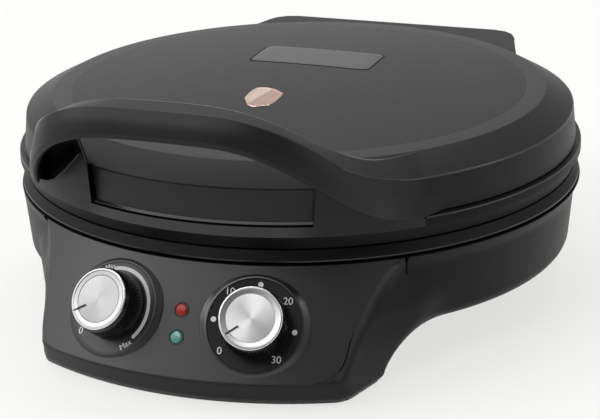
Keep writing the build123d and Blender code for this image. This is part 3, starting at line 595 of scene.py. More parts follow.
def dome_plate(name, outline, centre, levels):
    """Closed plate that follows the dome, from an outline and (inset share, height above dome) rings."""
    rings = []
    c = np.array(centre, float)
    for inset, up in levels:
        d = outline - c
        ln = np.linalg.norm(d, axis=1, keepdims=True)
        p = outline - d / ln * inset
        r = np.hypot(p[:, 0], p[:, 1])
        rings.append(np.stack([p[:, 0], p[:, 1], dome_z(r) + up], 1))
    n = len(outline)
    # inner rings down to the middle, so that the top follows the dome
    last_inset, last_up = levels[-1]
    base = outline - (outline - c) / np.linalg.norm(outline - c, axis=1, keepdims=True) * last_inset
    for s in (0.8, 0.6, 0.4, 0.2, 0.05):
        p = c + (base - c) * s
        r = np.hypot(p[:, 0], p[:, 1])
        rings.append(np.stack([p[:, 0], p[:, 1], dome_z(r) + last_up], 1))
    V = np.concatenate(rings)
    faces = []
    for k in range(len(rings) - 1):
        for i in range(n):
            j = (i + 1) % n
            faces.append((k * n + i, k * n + j, (k + 1) * n + j, (k + 1) * n + i))
    faces.append(tuple((len(rings) - 1) * n + i for i in range(n)))
    ob = make(name, V, faces, sharp=None)
    outward(ob)
    ob.data.set_sharp_from_angle(angle=50 * D2R)
    return ob


def fine(outline, step=4.0):
    """Closed outline with no edge longer than step."""
    out = []
    for i in range(len(outline)):
        a, b = np.array(outline[i], float), np.array(outline[(i + 1) % len(outline)], float)
        k = max(1, int(math.ceil(np.linalg.norm(b - a) / step)))
        out += [a + (b - a) * j / k for j in range(k)]
    return np.array(out)


inset_out = fine(arc_round([(-42.2, 59.2, 5.0), (37.3, 56.9, 5.0), (38.2, 17.8, 5.0), (-40.2, 19.4, 5.0)], True))
inset = dome_plate("inset_plate_skin", inset_out, (-1.7, 38.3), [(0.0, -0.9), (0.0, -0.05), (0.1, 0.08), (0.35, 0.16)])
place(inset, "lid", INSET, "inset_plastic", "lid_inset_plate")
gap_out = fine(arc_round([(-43.1, 59.6, 5.4), (38.2, 57.3, 5.4), (39.2, 16.2, 5.4), (-41.1, 17.8, 5.4)], True))
inset_gap = dome_plate("inset_gap", gap_out, (-1.7, 38.3), [(0.0, -0.5), (0.0, 0.03)])
place(inset_gap, "lid", DARK_GAP_AND_SHADE, "rim_plastic")

# badge: a bare plaque
badge_pts = fine(arc_round([(-13.2, -57.5, 6.0), (-6.8, -68.9, 4.0), (-1.5, -71.6, 4.0), (5.6, -67.0, 4.0), (7.3, -58.5, 6.0), (6.7, -44.4, 3.0), (-0.6, -38.3, 6.0),
                            (-7.8, -35.9, 4.0), (-13.2, -38.2, 4.0), (-14.0, -47.0, 6.0)], True), 2.0)
badge = dome_plate("badge_skin", badge_pts, (-3.3, -53.0), [(0.0, -0.3), (0.0, 0.25), (0.25, 0.5), (1.0, 0.55), (1.35, 0.38)])
place(badge, "lid", ROSE, "badge_metal", "lid_badge")
badge.data.materials.append(ROSE_SHADED)
for poly in badge.data.polygons:                           # painted shade: top faces right of a slanting line take the darker rose gold
    x, y = poly.center[0] * 1000, poly.center[1] * 1000 - Y0
    if x > -6.9 + (y + 66.0) * 0.15 and poly.normal[2] > 0.9:
        poly.material_index = 1

# ------------------------------------------------------------------ arched handle

# stations of the arch: outer top edge, inner top edge, lower edge (x, forward of the axis, above the flange)
ARCH = [
    ((0, 208.4, 79.4), (0, 196.3, 81.8), (0, 212.3, 63.7)),
    ((20, 208.3, 79.3), (20, 196.2, 81.5), (20, 212.2, 63.5)),
    ((40, 208.0, 78.4), (40, 195.4, 79.1), (40, 211.4, 62.0)),
    ((60, 205.0, 73.2), (60, 191.4, 72.2), (60, 206.7, 55.2)),
    ((75, 196.0, 63.7), (75, 179.5, 60.8), (75, 196.5, 43.6)),
    ((90, 173.7, 45.2), (85, 160.0, 49.4), (90, 176.5, 25.6)),
    ((100, 150.2, 33.8), (91, 143.0, 42.7), (100, 157.5, 13.9)),
    ((106.5, 136.5, 29.2), (95.7, 129.0, 38.4), (108, 141.5, 8.0)),
    ((111.3, 127.8, 26.9), (100.2, 118.3, 36.3), (114.5, 131.0, 5.7)),
    ((116.0, 120.1, 25.7), (105.3, 109.0, 35.95), (119.2, 123.9, 5.45)),
    ((124.0, 111.6, 25.6), (111.7, 100.6, 35.95), (124.9, 114.4, 6.3)),
    ((132.4, 101.6, 25.5), (119.3, 91.5, 35.9), (134.2, 102.9, 6.4)),
]


def arch_curves():
    """The three smooth edges over -1..1, with their stations at the same parameters, mirrored about x = 0."""
    P = np.array([[(x, -y, Z_FL + z) for x, y, z in row] for row in ARCH], float)
    d = np.concatenate([[0], np.cumsum(np.linalg.norm(np.diff(P, axis=0), axis=2).mean(1))])
    d /= d[-1]
    t = np.concatenate([-d[:0:-1], d])
    out = []
    for k in range(3):
        full = np.concatenate([(P[:, k] * np.array([-1, 1, 1]))[:0:-1], P[:, k]])
        fs = [spline(t, full[:, c]) for c in range(3)]
        out.append(lambda u, fs=fs: np.stack([f(u) for f in fs], -1))
    return out, float(d[8]), float(d[9])


(c_out, c_in, c_low), T_JOIN, T_SINK = arch_curves()
ts = np.concatenate([-np.linspace(0, 1, 171)[:0:-1], np.linspace(0, 1, 171)])
E_out, E_in, E_low = c_out(ts), c_in(ts), c_low(ts)
sections = []
for i, t in enumerate(ts):
    po, pi_, pl = E_out[i], E_in[i], E_low[i]
    tang = (E_out[min(i + 1, len(ts) - 1)] - E_out[max(i - 1, 0)])
    tang /= np.linalg.norm(tang)
    up = np.array([0, 0, 1.0])
    top = (po - pi_) / np.linalg.norm(po - pi_)           # along the top face, outwards
    front = (pl - po) / np.linalg.norm(pl - po)           # down the front face
    out = np.cross(front, tang)
    out /= np.linalg.norm(out)
    if out[:2] @ (po[:2] - np.array([0, -95.0])) < 0:
        out = -out
    fade = smooth01((T_JOIN + 0.02 - abs(t)) / 0.22)       # the walls thin out where the arch joins the lid
    sink = 0.12 * smooth01((abs(t) - T_JOIN) / (1 - T_JOIN)) - 0.03
    radial = po * np.array([1, 1, 0])
    radial /= np.linalg.norm(radial)
    away = radial * 0.55 + up * 0.83
    po = po - away * sink
    pi_ = pi_ - away * sink
    pl = pl - radial * sink
    lip = 3.0 * fade
    low_front = pl + out * lip + up * 3.4 * (0.15 + 0.85 * fade)
    low_mid = pl + out * lip * 0.55 + up * 0.25 * fade
    low_back = pl - out * (0.4 + 0.6 * fade) + up * 0.7 * fade
    in_top = po - top * 3.4 * (0.25 + 0.75 * fade) + front * 3.0
    back_top = pi_ + top * 2.9 + front * 2.6
    back_low_in = pi_ + top * 2.9 - up * (2.2 + 7.3 * fade)
    back_low = pi_ + top * 0.3 - up * (2.2 + 7.3 * fade)
    mid_front = (po + low_front) * 0.5 + out * 1.1 * (0.15 + 0.85 * fade)
    sections.append(((back_low, 0.5), (pi_, 1.5), (po, 1.3), (mid_front, 30.0), (low_front, 1.5 * fade + 0.1), (low_mid, 1.2 * fade + 0.1),
                     (low_back, 0.7 * fade + 0.1), (in_top, 1.5), (back_top, 1.0), (back_low_in, 0.5)))


def round_section(sec):
    """Closed 3-D outline with rounded corners, always the same number of points."""
    pts = [np.array(p) for p, r in sec]
    rad = [r for p, r in sec]
    n = len(pts)
    out = []
    for i in range(n):
        p, q, s = pts[i], pts[i - 1], pts[(i + 1) % n]
        u, w = q - p, s - p
        lu, lw = np.linalg.norm(u), np.linalg.norm(w)
        u, w = u / max(lu, 1e-9), w / max(lw, 1e-9)
        c = np.clip(u @ w, -0.9999, 0.9999)
        half = math.acos(c) / 2
        t = min(rad[i] / math.tan(half), lu * 0.45, lw * 0.45)
        a, b = p + u * t, p + w * t
        for k in range(6):
            f = k / 5.0
            out.append(a * (1 - f) ** 2 + 2 * p * f * (1 - f) + b * f ** 2)
    return out


H = np.array([round_section(s) for s in sections])
n, m = H.shape[:2]
faces = []
for i in range(n - 1):
    for j in range(m):
        j2 = (j + 1) % m
        faces.append((i * m + j, (i + 1) * m + j, (i + 1) * m + j2, i * m + j2))
faces.append(tuple(range(m)))
faces.append(tuple((n - 1) * m + j for j in reversed(range(m))))
handle_v = H.reshape(-1, 3)

handle = make("handle_skin", handle_v, faces, sharp=None)
outward(handle)
handle.data.set_sharp_from_angle(angle=40 * D2R)
place(handle, "lid", LID, "shell_plastic", "lid_handle")
handle.data.materials.append(EDGE)
handle.data.materials.append(LID_EDGE_HIGHLIGHT)
for i in range(n - 1):
    t = 2.0 * i / (n - 1) - 1
    for k in (7, 8, 9):
        handle.data.polygons[i * m + k].material_index = 1
    # painted highlight on the outer top edge at the handle's right end
    for k in (13, 14, 15) if t > 0.55 else ():
        handle.data.polygons[i * m + k].material_index = 2


def tube(name, path, radius, n=10):
    """Round bar along a path of points, closed at both ends."""
    path = np.asarray(path, float)
    m = len(path)
    rad = np.broadcast_to(np.asarray(radius, float), (m,))
    V, F = [], []
    last = None
    for i in range(m):
        t = path[min(i + 1, m - 1)] - path[max(i - 1, 0)]
        t /= np.linalg.norm(t)
        a = np.cross(t, [0, 0, 1.0]) if last is None else last - t * (last @ t)
        if np.linalg.norm(a) < 1e-6:
            a = np.cross(t, [1.0, 0, 0])
        a /= np.linalg.norm(a)
        last = a
        b = np.cross(t, a)
        for k in range(n):
            w = 2 * math.pi * k / n
            V.append(path[i] + rad[i] * (a * math.cos(w) + b * math.sin(w)))
    for i in range(m - 1):
        for k in range(n):
            k2 = (k + 1) % n
            F.append((i * n + k, i * n + k2, (i + 1) * n + k2, (i + 1) * n + k))
    F.append(tuple(reversed(range(n))))
    F.append(tuple((m - 1) * n + k for k in range(n)))
    return outward(make(name, V, F, sharp=50))


def crease(name, path, radius, mat):
    rad = [radius * (0.25 + 0.75 * smooth01(min(i, len(path) - 1 - i) / 6.0)) for i in range(len(path))]
    ob = tube(name, path, rad, 8)
    place(ob, "lid", mat, "shell_plastic")


def station(t):
    return int(round((t + 1.0) / 2.0 * (len(sections) - 1)))


crease("handle_crease_top", [H[station(t), 8] + np.array([0, 0.10, -0.12]) for t in np.linspace(-0.62, 0.80, 90)], 0.33, EDGE)
# pale tubes along the handle's left edges: a painted highlight
crease("handle_crease_left", [H[station(t), 8] + np.array([0, 0.10, -0.10]) for t in np.linspace(-0.46, -0.20, 30)], 0.36, PAINTED_EDGE_HIGHLIGHT)
left_path = [H[station(t), 14] + np.array([-0.05, 0.0, 0.0]) for t in np.linspace(-0.36, -0.53, 24)]
left_path += [H[station(-0.53 - 0.05 * f), int(round(14 + 12 * f))] + np.array([-0.12, -0.10, 0.0]) for f in np.linspace(0.08, 1.0, 12)]
crease("handle_crease_end", left_path, 0.36, PAINTED_EDGE_HIGHLIGHT)


def diag_point(z, r=172.5):
    a = float(np.interp(z, [90.0, 91.7, 93.2, 97.4, 104.4, 113.5, 120.3], [43.4, 42.7, 38.0, 34.2, 30.7, 27.1, 24.8])) * D2R
    return np.array([r * math.sin(a), -r * math.cos(a), z])


for side, word in ((-1, "left"), (1, "right")):
    flip = np.array([side, 1, 1.0])
    corner = np.array([172.0 * math.sin(24.0 * D2R), -172.0 * math.cos(24.0 * D2R), 120.0])
    grip = np.array([57.0, -192.6, 150.0])
    low_end = np.array([172.0 * math.sin(23.05 * D2R), -172.0 * math.cos(23.05 * D2R), 115.4])
    web = tube("web_edge_" + word, [low_end * flip, (low_end * 0.5 + grip * 0.5) * flip, grip * flip], 0.7)
    place(web, "lid", LID, "shell_plastic")
    # pocket: a near-black bowl behind the opening between the web's edge, the lip and the surround's slanted edge,
    # painted shade inside the handle's end
    rim = [corner + (grip - corner) * f for f in np.linspace(0, 1, 8)]
    us = np.linspace(0, 1, 400)
    lows = c_low(us)
    i0 = int(np.argmin(np.abs(lows[:, 0] - 57.0)))
    i1 = int(np.argmin(np.abs(lows[:, 0] - 106.0)))
    for i in np.linspace(i0, i1, 22).astype(int):
        q = lows[i].copy()
        inward = np.array([-q[0], -(q[1] + 95.0), 0])
        inward /= np.linalg.norm(inward)
        rim.append(q + inward * 1.4 + np.array([0, 0, 2.2]))
    for z in np.linspace(93.5, 119.0, 12):
        rim.append(diag_point(z, 170.8))
    rim = np.array(rim)
    mid = rim.mean(0) + np.array([10.0, 16.0, 4.0])
    rings = [rim]
    for f, g in ((0.9, 0.45), (0.74, 0.8), (0.5, 1.0), (0.25, 1.05)):
        flat = rim.mean(0) + (rim - rim.mean(0)) * f
        rings.append(flat + (mid - rim.mean(0)) * g)
    outs, ins = c_out(us), c_in(us)
    for ring in rings[1:]:                                  # kept behind the front face and under the top face
        xl = np.interp(ring[:, 0], lows[us > 0.5, 0], np.arange((us > 0.5).sum()))
        xo = np.interp(ring[:, 0], outs[us > 0.5, 0], np.arange((us > 0.5).sum()))
        xi = np.interp(ring[:, 0], ins[us > 0.5, 0], np.arange((us > 0.5).sum()))
        k0 = int((us <= 0.5).sum())
        pl_ = lows[(k0 + xl).astype(int).clip(0, 399)]
        po_ = outs[(k0 + xo).astype(int).clip(0, 399)]
        pi2 = ins[(k0 + xi).astype(int).clip(0, 399)]
        f = np.clip((ring[:, 2] - pl_[:, 2]) / np.maximum(po_[:, 2] - pl_[:, 2], 1e-6), 0, 1)
        yf = pl_[:, 1] + f * (po_[:, 1] - pl_[:, 1])
        ring[:, 1] = np.maximum(ring[:, 1], yf + 2.8)
        g = np.clip((ring[:, 1] - po_[:, 1]) / np.maximum(pi2[:, 1] - po_[:, 1], 1e-6), 0, 1)
        ztop = po_[:, 2] + g * (pi2[:, 2] - po_[:, 2]) - 4.6
        ring[:, 2] = np.minimum(ring[:, 2], ztop)
        rr = np.hypot(ring[:, 0], ring[:, 1])
        scale = np.maximum(1.0, 158.0 / np.maximum(rr, 1e-6))
        ring[:, :2] *= scale[:, None]
        ring[:, 1] = np.maximum(ring[:, 1], yf + 2.8)
    V = np.concatenate(rings) * flip
    k = len(rim)
    F = []
    for j in range(len(rings) - 1):
        for i in range(k):
            i2 = (i + 1) % k
            F.append((j * k + i, j * k + i2, (j + 1) * k + i2, (j + 1) * k + i))
    F.append(tuple((len(rings) - 1) * k + i for i in range(k)))
    pocket = make("pocket_" + word, V, F, sharp=60)
    so = pocket.modifiers.new("wall", "SOLIDIFY")
    so.thickness = 0.001
    so.offset = 0
    place(pocket, "lid", DARK_GAP_AND_SHADE, "shell_plastic")
    # rounded rim along the surround's slanted edge
    bead = tube("cheek_rim_" + word, [diag_point(z, 172.35) * flip for z in np.linspace(94.5, 119.6, 22)],
                [0.2 + 0.75 * smooth01((z - 94.5) / 10.0) for z in np.linspace(94.5, 119.6, 22)])
    place(bead, "lid", PANEL, "panel_plastic")

# ------------------------------------------------------------------ front surround

DIAG = [(43.4, 90.0), (42.7, 91.7), (38.0, 93.2), (34.2, 97.4), (30.7, 104.4), (27.1, 113.5), (24.8, 120.3)]
dz = np.array([z for a, z in DIAG])
da = np.array([a for a, z in DIAG])


def diag_az(z):
    return np.interp(z, dz, da)


def side_az(z):
    return np.interp(z, [91.4, 115.7, 120.3], [22.4, 23.1, 24.25])


def cyl(r, az, z):
    az = np.asarray(az, float) * D2R
    return np.stack(np.broadcast_arrays(r * np.sin(az), -r * np.cos(az), z), -1)


zs_low = np.concatenate([np.linspace(86.0, 90.0, 5), [90.6, 91.3, 91.9]])
zs_up = np.concatenate([[91.9], np.linspace(93.2, 120.3, 22)])
left_cols, mid_cols = 18, 60
rows = []
V, F = [], []
index = {}


def vid(p):
    key = tuple(round(float(c), 4) for c in p)
    if key not in index:
        index[key] = len(V)
        V.append(key)
    return index[key]


def add_grid(P, flip=False):
    for i in range(P.shape[0] - 1):
        for j in range(P.shape[1] - 1):
            q = [vid(P[i, j]), vid(P[i, j + 1]), vid(P[i + 1, j + 1]), vid(P[i + 1, j])]
            if len(set(q)) < 3:
                continue
            q = list(dict.fromkeys(q))
            F.append(tuple(q[::-1]) if flip else tuple(q))


band = []
for z in zs_low:
    e = float(diag_az(z)) if z > 90.0 else 43.4
    s = 22.4
    cols = np.concatenate([np.linspace(-e, -s, left_cols), np.linspace(-s, s, mid_cols)[1:], np.linspace(s, e, left_cols)[1:]])
    band.append(cyl(172.5, cols, z))
add_grid(np.array(band))
for side in (-1, 1):
    grid = []
    for z in zs_up:
        s, e = float(side_az(z)), max(float(diag_az(z)), float(side_az(z)) + 0.5)
        cols = np.linspace(s, e, left_cols) * side
        if side < 0:
            cols = cols[::-1]
        grid.append(cyl(172.5, cols, z))
    add_grid(np.array(grid))
fascia = make("surround_skin", np.array(V), F, sharp=None)
sol = fascia.modifiers.new("wall", "SOLIDIFY")
sol.thickness = 0.0025
sol.offset = -1.0
sol.use_even_offset = True
sol.material_offset_rim = 1
thin = fascia.vertex_groups.new(name="wall")
for v in fascia.data.vertices:
    z = v.co[2] * 1000
    inner = abs(math.degrees(math.atan2(v.co[0] * 1000, -(v.co[1] * 1000 - Y0)))) < 24.6
    thin.add([v.index], 1.0 - (0.72 * float(smooth01((z - 94.0) / 16.0)) if inner else 0.0), "REPLACE")
sol.vertex_group = "wall"
bevel(fascia, 0.45, 3, 40)
place(fascia, "lid", SURROUND_WITH_PAINTED_LIGHT, "panel_plastic", "lid_fascia")
# the surround's cut edges, the window's sides among them, take the near-black plastic: painted shade
fascia.data.materials.append(DARK_GAP_AND_SHADE)
# painted light: the band under the window is lighter and glossier, against the handle's shade
finish_and_painted_light(fascia, lambda r, z, a: smooth01((25.0 - np.abs(a)) / 9.0) * smooth01((92.6 - z) / 1.0))

# ------------------------------------------------------------------ rims

up_ring = lathe("upper_rim_skin", arc_round([(157.0, 78.1, 0.3), (168.3, 78.1, 0.5), (170.5, 84.2, 0.5), (171.0, 86.0, 0),
                                             (160.2, 86.0, 0), (160.2, 82.0, 0), (157.0, 82.0, 0)], True))
place(up_ring, "lid", RIM, "rim_plastic", "upper_rim_ring")
lo_ring = lathe("lower_rim_skin", arc_round([(157.0, 77.3, 0.3), (168.5, 77.3, 0.5), (171.6, 72.2, 0.4), (171.6, 71.1, 0.35),
                                             (167.2, 70.9, 0), (167.2, 69.5, 0), (160.2, 69.5, 0), (160.2, 73.3, 0),
                                             (157.0, 73.3, 0)], True))
place(lo_ring, "base", RIM, "rim_plastic", "lower_rim_ring")
set_face_material(lo_ring, RIM_EDGE, lambda r, z, a: math.hypot(r - 171.6, z - 71.9) < 0.45 and r > 171.0)
set_face_material(up_ring, RIM_EDGE, lambda r, z, a: math.hypot(r - 170.5, z - 84.2) < 0.4)

# ------------------------------------------------------------------ baking plates

low_plate = lathe("lower_plate_skin", [(0.0, 66.0)] + arc_round([(0.0, 66.0, 0), (146.0, 66.0, 3.0), (151.0, 76.4, 1.2), (156.5, 76.4, 0.6),
                  (156.5, 73.3, 0), (160.0, 73.3, 0), (160.0, 70.8, 0), (153.5, 70.8, 0), (148.5, 63.0, 2.0), (0.0, 63.0, 0)])[1:])
place(low_plate, "base", NONSTICK, "nonstick", "lower_plate")
up_plate = lathe("upper_plate_skin", [(0.0, 88.0)] + arc_round([(0.0, 88.0, 0), (146.0, 88.0, 3.0), (151.0, 79.0, 1.2), (156.5, 79.0, 0.6),
                 (156.5, 82.0, 0), (160.0, 82.0, 0), (160.0, 84.5, 0), (153.5, 84.5, 0), (148.5, 91.0, 2.0), (0.0, 91.0, 0)])[1:])
place(up_plate, "lid", NONSTICK, "nonstick", "upper_plate")

# ------------------------------------------------------------------ base shell

Z_RIM, R_RIM, Z_KNEE, R_KNEE = 69.5, 172.4, 17.5, 207.2
TILT = math.atan2(R_KNEE - R_RIM, Z_RIM - Z_KNEE)
SHEAR = 0.27
side_w = spline([-30, 0, 8, 14, 22, 30, 38, 44, 52, 58, 63, 67, 70, 73, 80],
                [89.6, 89.6, 89.5, 89.4, 89.1, 88.8, 88.6, 88.7, 89.6, 90.7, 92.1, 94.0, 96.6, 99.8, 106.0])


def r_inter(a, b, r):
    """Intersection with a rounded outer edge."""
    return np.minimum(-r, np.maximum(a, b)) + np.hypot(np.maximum(r + a, 0), np.maximum(r + b, 0))


def r_union(a, b, r):
    """Union with a rounded inner corner."""
    return np.maximum(r, np.minimum(a, b)) - np.hypot(np.maximum(r - a, 0), np.maximum(r - b, 0))


def d_front(r, z, seat=0.0):
    cone = (r - (R_RIM + (R_KNEE - R_RIM) * (Z_RIM - z) / (Z_RIM - Z_KNEE)) + seat) * math.cos(TILT)
    skirt = (r - (201.5 + (z - 2.0) * 0.52) + seat * 1.6) * 0.887
    return r_inter(cone, skirt, 0.8)


def pan_swell(az):
    """The pan is a little fuller on its left side."""
    return 2.6 * smooth01((az + 128.0) / 34.0) * smooth01((-42.0 - az) / 22.0)


def base_sdf(p):
    x, y, z = p[:, 0], p[:, 1], p[:, 2]
    r = np.hypot(x, y)
    ax = np.abs(x)
    # pan
    wall = (r - (169.0 + pan_swell(np.degrees(np.arctan2(x, -y))) - 0.09 * (62.8 - z))) * 0.996
    pan = r_inter(wall, 25.3 - z, 7.5)
    # front housing, its sides and back
    trim = np.where(x > 0, 2.3 * smooth01((5.0 - z) / 4.0), 1.3 * np.exp(-((z - 14.0) / 6.0) ** 2))
    plain = (ax - side_w(z) - 2.6 - SHEAR * (y + 180.0)) / 1.04
    side = plain + trim / 1.04
    back = (y - (-147.0 + 0.50 * (z - 2.0))) * 0.894
    block = r_inter(side, back, 2.5)
    rad = 30.0 + (3.0 - 30.0) * smooth01((z - 40.0) / 24.0)
    body = r_union(pan, block, rad)
    front = d_front(r, z, 0.32)
    body = r_inter(body, front, 4.5)
    # rear housing and legs
    bx, by, bz = ax - 54.0, np.abs(y - 160.0) - 22.0, np.abs(z - 42.0) - 16.0
    q = 3.0
    box = np.minimum(np.maximum(np.maximum(bx, by), bz) + q, 0) + np.sqrt(
        np.maximum(bx + q, 0) ** 2 + np.maximum(by + q, 0) ** 2 + np.maximum(bz + q, 0) ** 2) - q
    body = r_union(body, box, 4.0)
    leg = (np.hypot(ax - 78.0, y - 112.0) - (11.5 + 2.5 * (z - 2.0) / 26.4)) * 0.995
    leg = np.maximum(leg, z - 40.0)
    body = r_union(body, leg, 5.0)
    # flat underside
    body = np.maximum(body, 1.0 - z)
    # top: flat under the rim, lower where the separate rim band sits
    az = np.abs(np.degrees(np.arctan2(ax, -y)))
    top = np.where(az < 39.6, 69.4, 66.0)
    body = np.maximum(body, z - top)
    # hollow
    inside_leg = np.maximum(np.maximum(r_inter(plain, back, 2.5) + 4.4, d_front(r, z, 0.32) + 4.4), z - 60.0)
    inside_pan = np.maximum(r - 160.5, 31.6 - z)
    inside_rear = np.maximum(np.maximum(ax - 50.0, y - 177.8), np.maximum(31.6 - z, z - 53.6))
    inside_rear = np.maximum(inside_rear, 120.0 - y)
    inside = np.minimum(np.minimum(inside_leg, inside_pan), inside_rear)
    return np.maximum(body, -inside)


def evaluate(f, p, block=400000):
    return np.concatenate([f(p[i:i + block]) for i in range(0, len(p), block)])


def gradient(f, p, h=0.25):
    g = np.empty_like(p)
    for k in range(3):
        e = np.zeros(3)
        e[k] = h
        g[:, k] = (evaluate(f, p + e) - evaluate(f, p - e)) / (2 * h)
    return g


def dual_contour(f, low, high, h):
    """Quad surface of f = 0 with one point per cell, set so that edges and corners stay crisp."""
    nx, ny, nz = [int(math.ceil((b - a) / h)) + 1 for a, b in zip(low, high)]
    gx, gy, gz = [low[k] + h * np.arange(n) for k, n in enumerate((nx, ny, nz))]
    G = np.stack(np.meshgrid(gx, gy, gz, indexing="ij"), -1).reshape(-1, 3)
    val = evaluate(f, G).reshape(nx, ny, nz)
    s = val < 0
    total = sum(s[i:nx - 1 + i, j:ny - 1 + j, k:nz - 1 + k].astype(np.int8) for i in (0, 1) for j in (0, 1) for k in (0, 1))
    active = (total > 0) & (total < 8)
    idx = np.argwhere(active)
    N = len(idx)
    number = -np.ones(active.shape, np.int64)
    number[active] = np.arange(N)
    AtA = np.zeros((N, 3, 3))
    Atb = np.zeros((N, 3))
    mass = np.zeros((N, 3))
    cnt = np.zeros(N)
    quads = []
    origin = np.array(low)
    for axis in range(3):
        o = [k for k in range(3) if k != axis]
        lo_s = [slice(None)] * 3
        hi_s = [slice(None)] * 3
        lo_s[axis], hi_s[axis] = slice(0, -1), slice(1, None)
        cr = np.argwhere(s[tuple(lo_s)] != s[tuple(hi_s)])
        e = np.zeros(3, int)
        e[axis] = 1
        fa = val[tuple(cr.T)]
        fb = val[tuple((cr + e).T)]
        ta, tb = np.zeros(len(cr)), np.ones(len(cr))
        t = fa / (fa - fb)
        for _ in range(3):
            p = origin + (cr + t[:, None] * e) * h
            v = evaluate(f, p)
            same = (v < 0) == (fa < 0)
            ta, fa = np.where(same, t, ta), np.where(same, v, fa)
            tb, fb = np.where(same, tb, t), np.where(same, fb, v)
            t = ta + (tb - ta) * np.clip(fa / np.where(fa - fb == 0, 1, fa - fb), 0.02, 0.98)
        p = origin + (cr + t[:, None] * e) * h
        g = gradient(f, p, 0.02 * h)
        g /= np.maximum(np.linalg.norm(g, axis=1, keepdims=True), 1e-9)
        du = np.zeros(3, int)
        dv = np.zeros(3, int)
        du[o[0]] = 1
        dv[o[1]] = 1
        quad = []
        good = np.ones(len(cr), bool)
        for off in (du + dv, dv, 0 * du, du):
            c = cr - off
            inside = np.all((c >= 0) & (c < np.array(active.shape)), axis=1)
            c2 = np.where(inside[:, None], c, 0)
            num = np.where(inside, number[tuple(c2.T)], -1)
            good &= num >= 0
            quad.append(num)
            k = num >= 0
            np.add.at(AtA, num[k], g[k][:, :, None] * g[k][:, None, :])
            np.add.at(Atb, num[k], g[k] * (g[k] * p[k]).sum(1)[:, None])
            np.add.at(mass, num[k], p[k])
            np.add.at(cnt, num[k], 1)
        q = np.stack(quad, 1)
        first = s[tuple(cr.T)]
        turn = first if axis != 1 else ~first
        q[~turn] = q[~turn][:, ::-1]
        quads.append(q[good])
    mass /= np.maximum(cnt, 1)[:, None]
    lam = 0.03 * np.maximum(cnt, 1)[:, None, None] * np.eye(3)
    rhs = Atb - np.einsum("nij,nj->ni", AtA, mass)
    off = np.linalg.solve(AtA + lam, rhs[:, :, None])[:, :, 0]
    centre = origin + (idx + 0.5) * h
    pts = np.clip(mass + off, centre - 0.56 * h, centre + 0.56 * h)
    return pts, np.concatenate(quads)


cell = 1.9
pts, quads = dual_contour(base_sdf, (-178.03, -212.07, -1.97), (178.0, 190.0, 74.0), cell)
base = make("base_shell_skin", pts, quads, sharp=33)
place(base, "base", HOUSING_WITH_PAINTED_SHEEN, "shell_plastic", "base_shell")


def housing_finish_and_painted_sheen(r, z, a):
    d = r - (R_RIM + (R_KNEE - R_RIM) * (Z_RIM - z) / (Z_RIM - Z_KNEE))
    m = smooth01((d + 3.4) / 2.8) * smooth01((z - 15.4) / 1.6) * smooth01((68.0 - z) / 2.0) * (np.abs(a) < 41)
    # painted reflection of the floor: the bottom lip at the front is lighter and glossier
    lip = 0.75 * smooth01((3.6 - z) / 0.9) * (r > 196.0) * (np.abs(a) < 30)
    return np.maximum(m, lip)


finish_and_painted_light(base, housing_finish_and_painted_sheen)

# rim band of the base, all round except at the front housing
def band_shape(A, R, Z):
    a = (A + 180.0) % 360.0 - 180.0
    return R + np.where(R > 166.6, pan_swell(a) * smooth01((68.5 - Z) / 6.0), 0.0), Z


rim_band = lathe("base_rim_skin", arc_round([(168.55, 58.0, 0), (169.02, 62.6, 9.0), (172.4, 69.3, 0.6), (172.0, 69.5, 0.2), (164.8, 69.5, 0),
                                             (164.8, 66.0, 0), (165.5, 60.0, 0)], True), steps=560, arc=(40.05, 319.95), shape=band_shape)
place(rim_band, "base", SHELL, "shell_plastic")

# parting slits where the rim band meets the front housing
for side, word in ((-1, "left"), (1, "right")):
    a0, a1 = (39.72, 40.08)
    P = []
    for r_off in (0.22, -1.5):
        row = []
        for z in (58.6, 60.5, 62.8, 65.0, 67.2, 69.45):
            for az in (a0, a1):
                a = side * az * D2R
                rs = np.arange(180.0, 160.0, -0.1)
                d = base_sdf(np.stack([rs * math.sin(a), -rs * math.cos(a), np.full(rs.shape, min(z, 65.8))], 1))
                rr = float(rs[np.argmax(d < 0)]) + (0.0 if z < 65.8 else (z - 65.8) * 0.55)
                row.append(((rr + r_off) * math.sin(a), -(rr + r_off) * math.cos(a), z))
        P.append(row)
    V = P[0] + P[1]
    n = len(P[0])
    F = []
    for i in range(n // 2 - 1):
        q = (2 * i, 2 * i + 1, 2 * i + 3, 2 * i + 2)
        F += [q, tuple(n + c for c in q[::-1]), (2 * i, 2 * i + 2, n + 2 * i + 2, n + 2 * i), (2 * i + 1, n + 2 * i + 1, n + 2 * i + 3, 2 * i + 3)]
    F += [(0, n, n + 1, 1), (n - 2, n - 1, 2 * n - 1, 2 * n - 2)]
    slit = outward(make("rim_slit_" + word, V, F, sharp=40))
    place(slit, "base", DARK_GAP_AND_SHADE, "shell_plastic")

# ------------------------------------------------------------------ control panel


def panel_r(z):
    """Radius of the sloped front at a height, the knee rounded."""
    z = np.asarray(z, float)
    lo, hi = np.full(z.shape, 150.0), np.full(z.shape, 260.0)
    for _ in range(40):
        mid = (lo + hi) / 2
        neg = d_front(mid, z) < 0
        lo = np.where(neg, mid, lo)
        hi = np.where(neg, hi, mid)
    return (lo + hi) / 2


panel_x = spline([15.9, 16.4, 17.2, 18.4, 20.0, 21.9, 24.5, 28.4, 35.0, 43.7, 52.4, 61.0, 66.0, 69.6],
                 [74.5, 78.2, 81.2, 84.2, 86.5, 88.2, 89.4, 90.1, 90.6, 92.3, 95.4, 99.6, 103.3, 106.6])


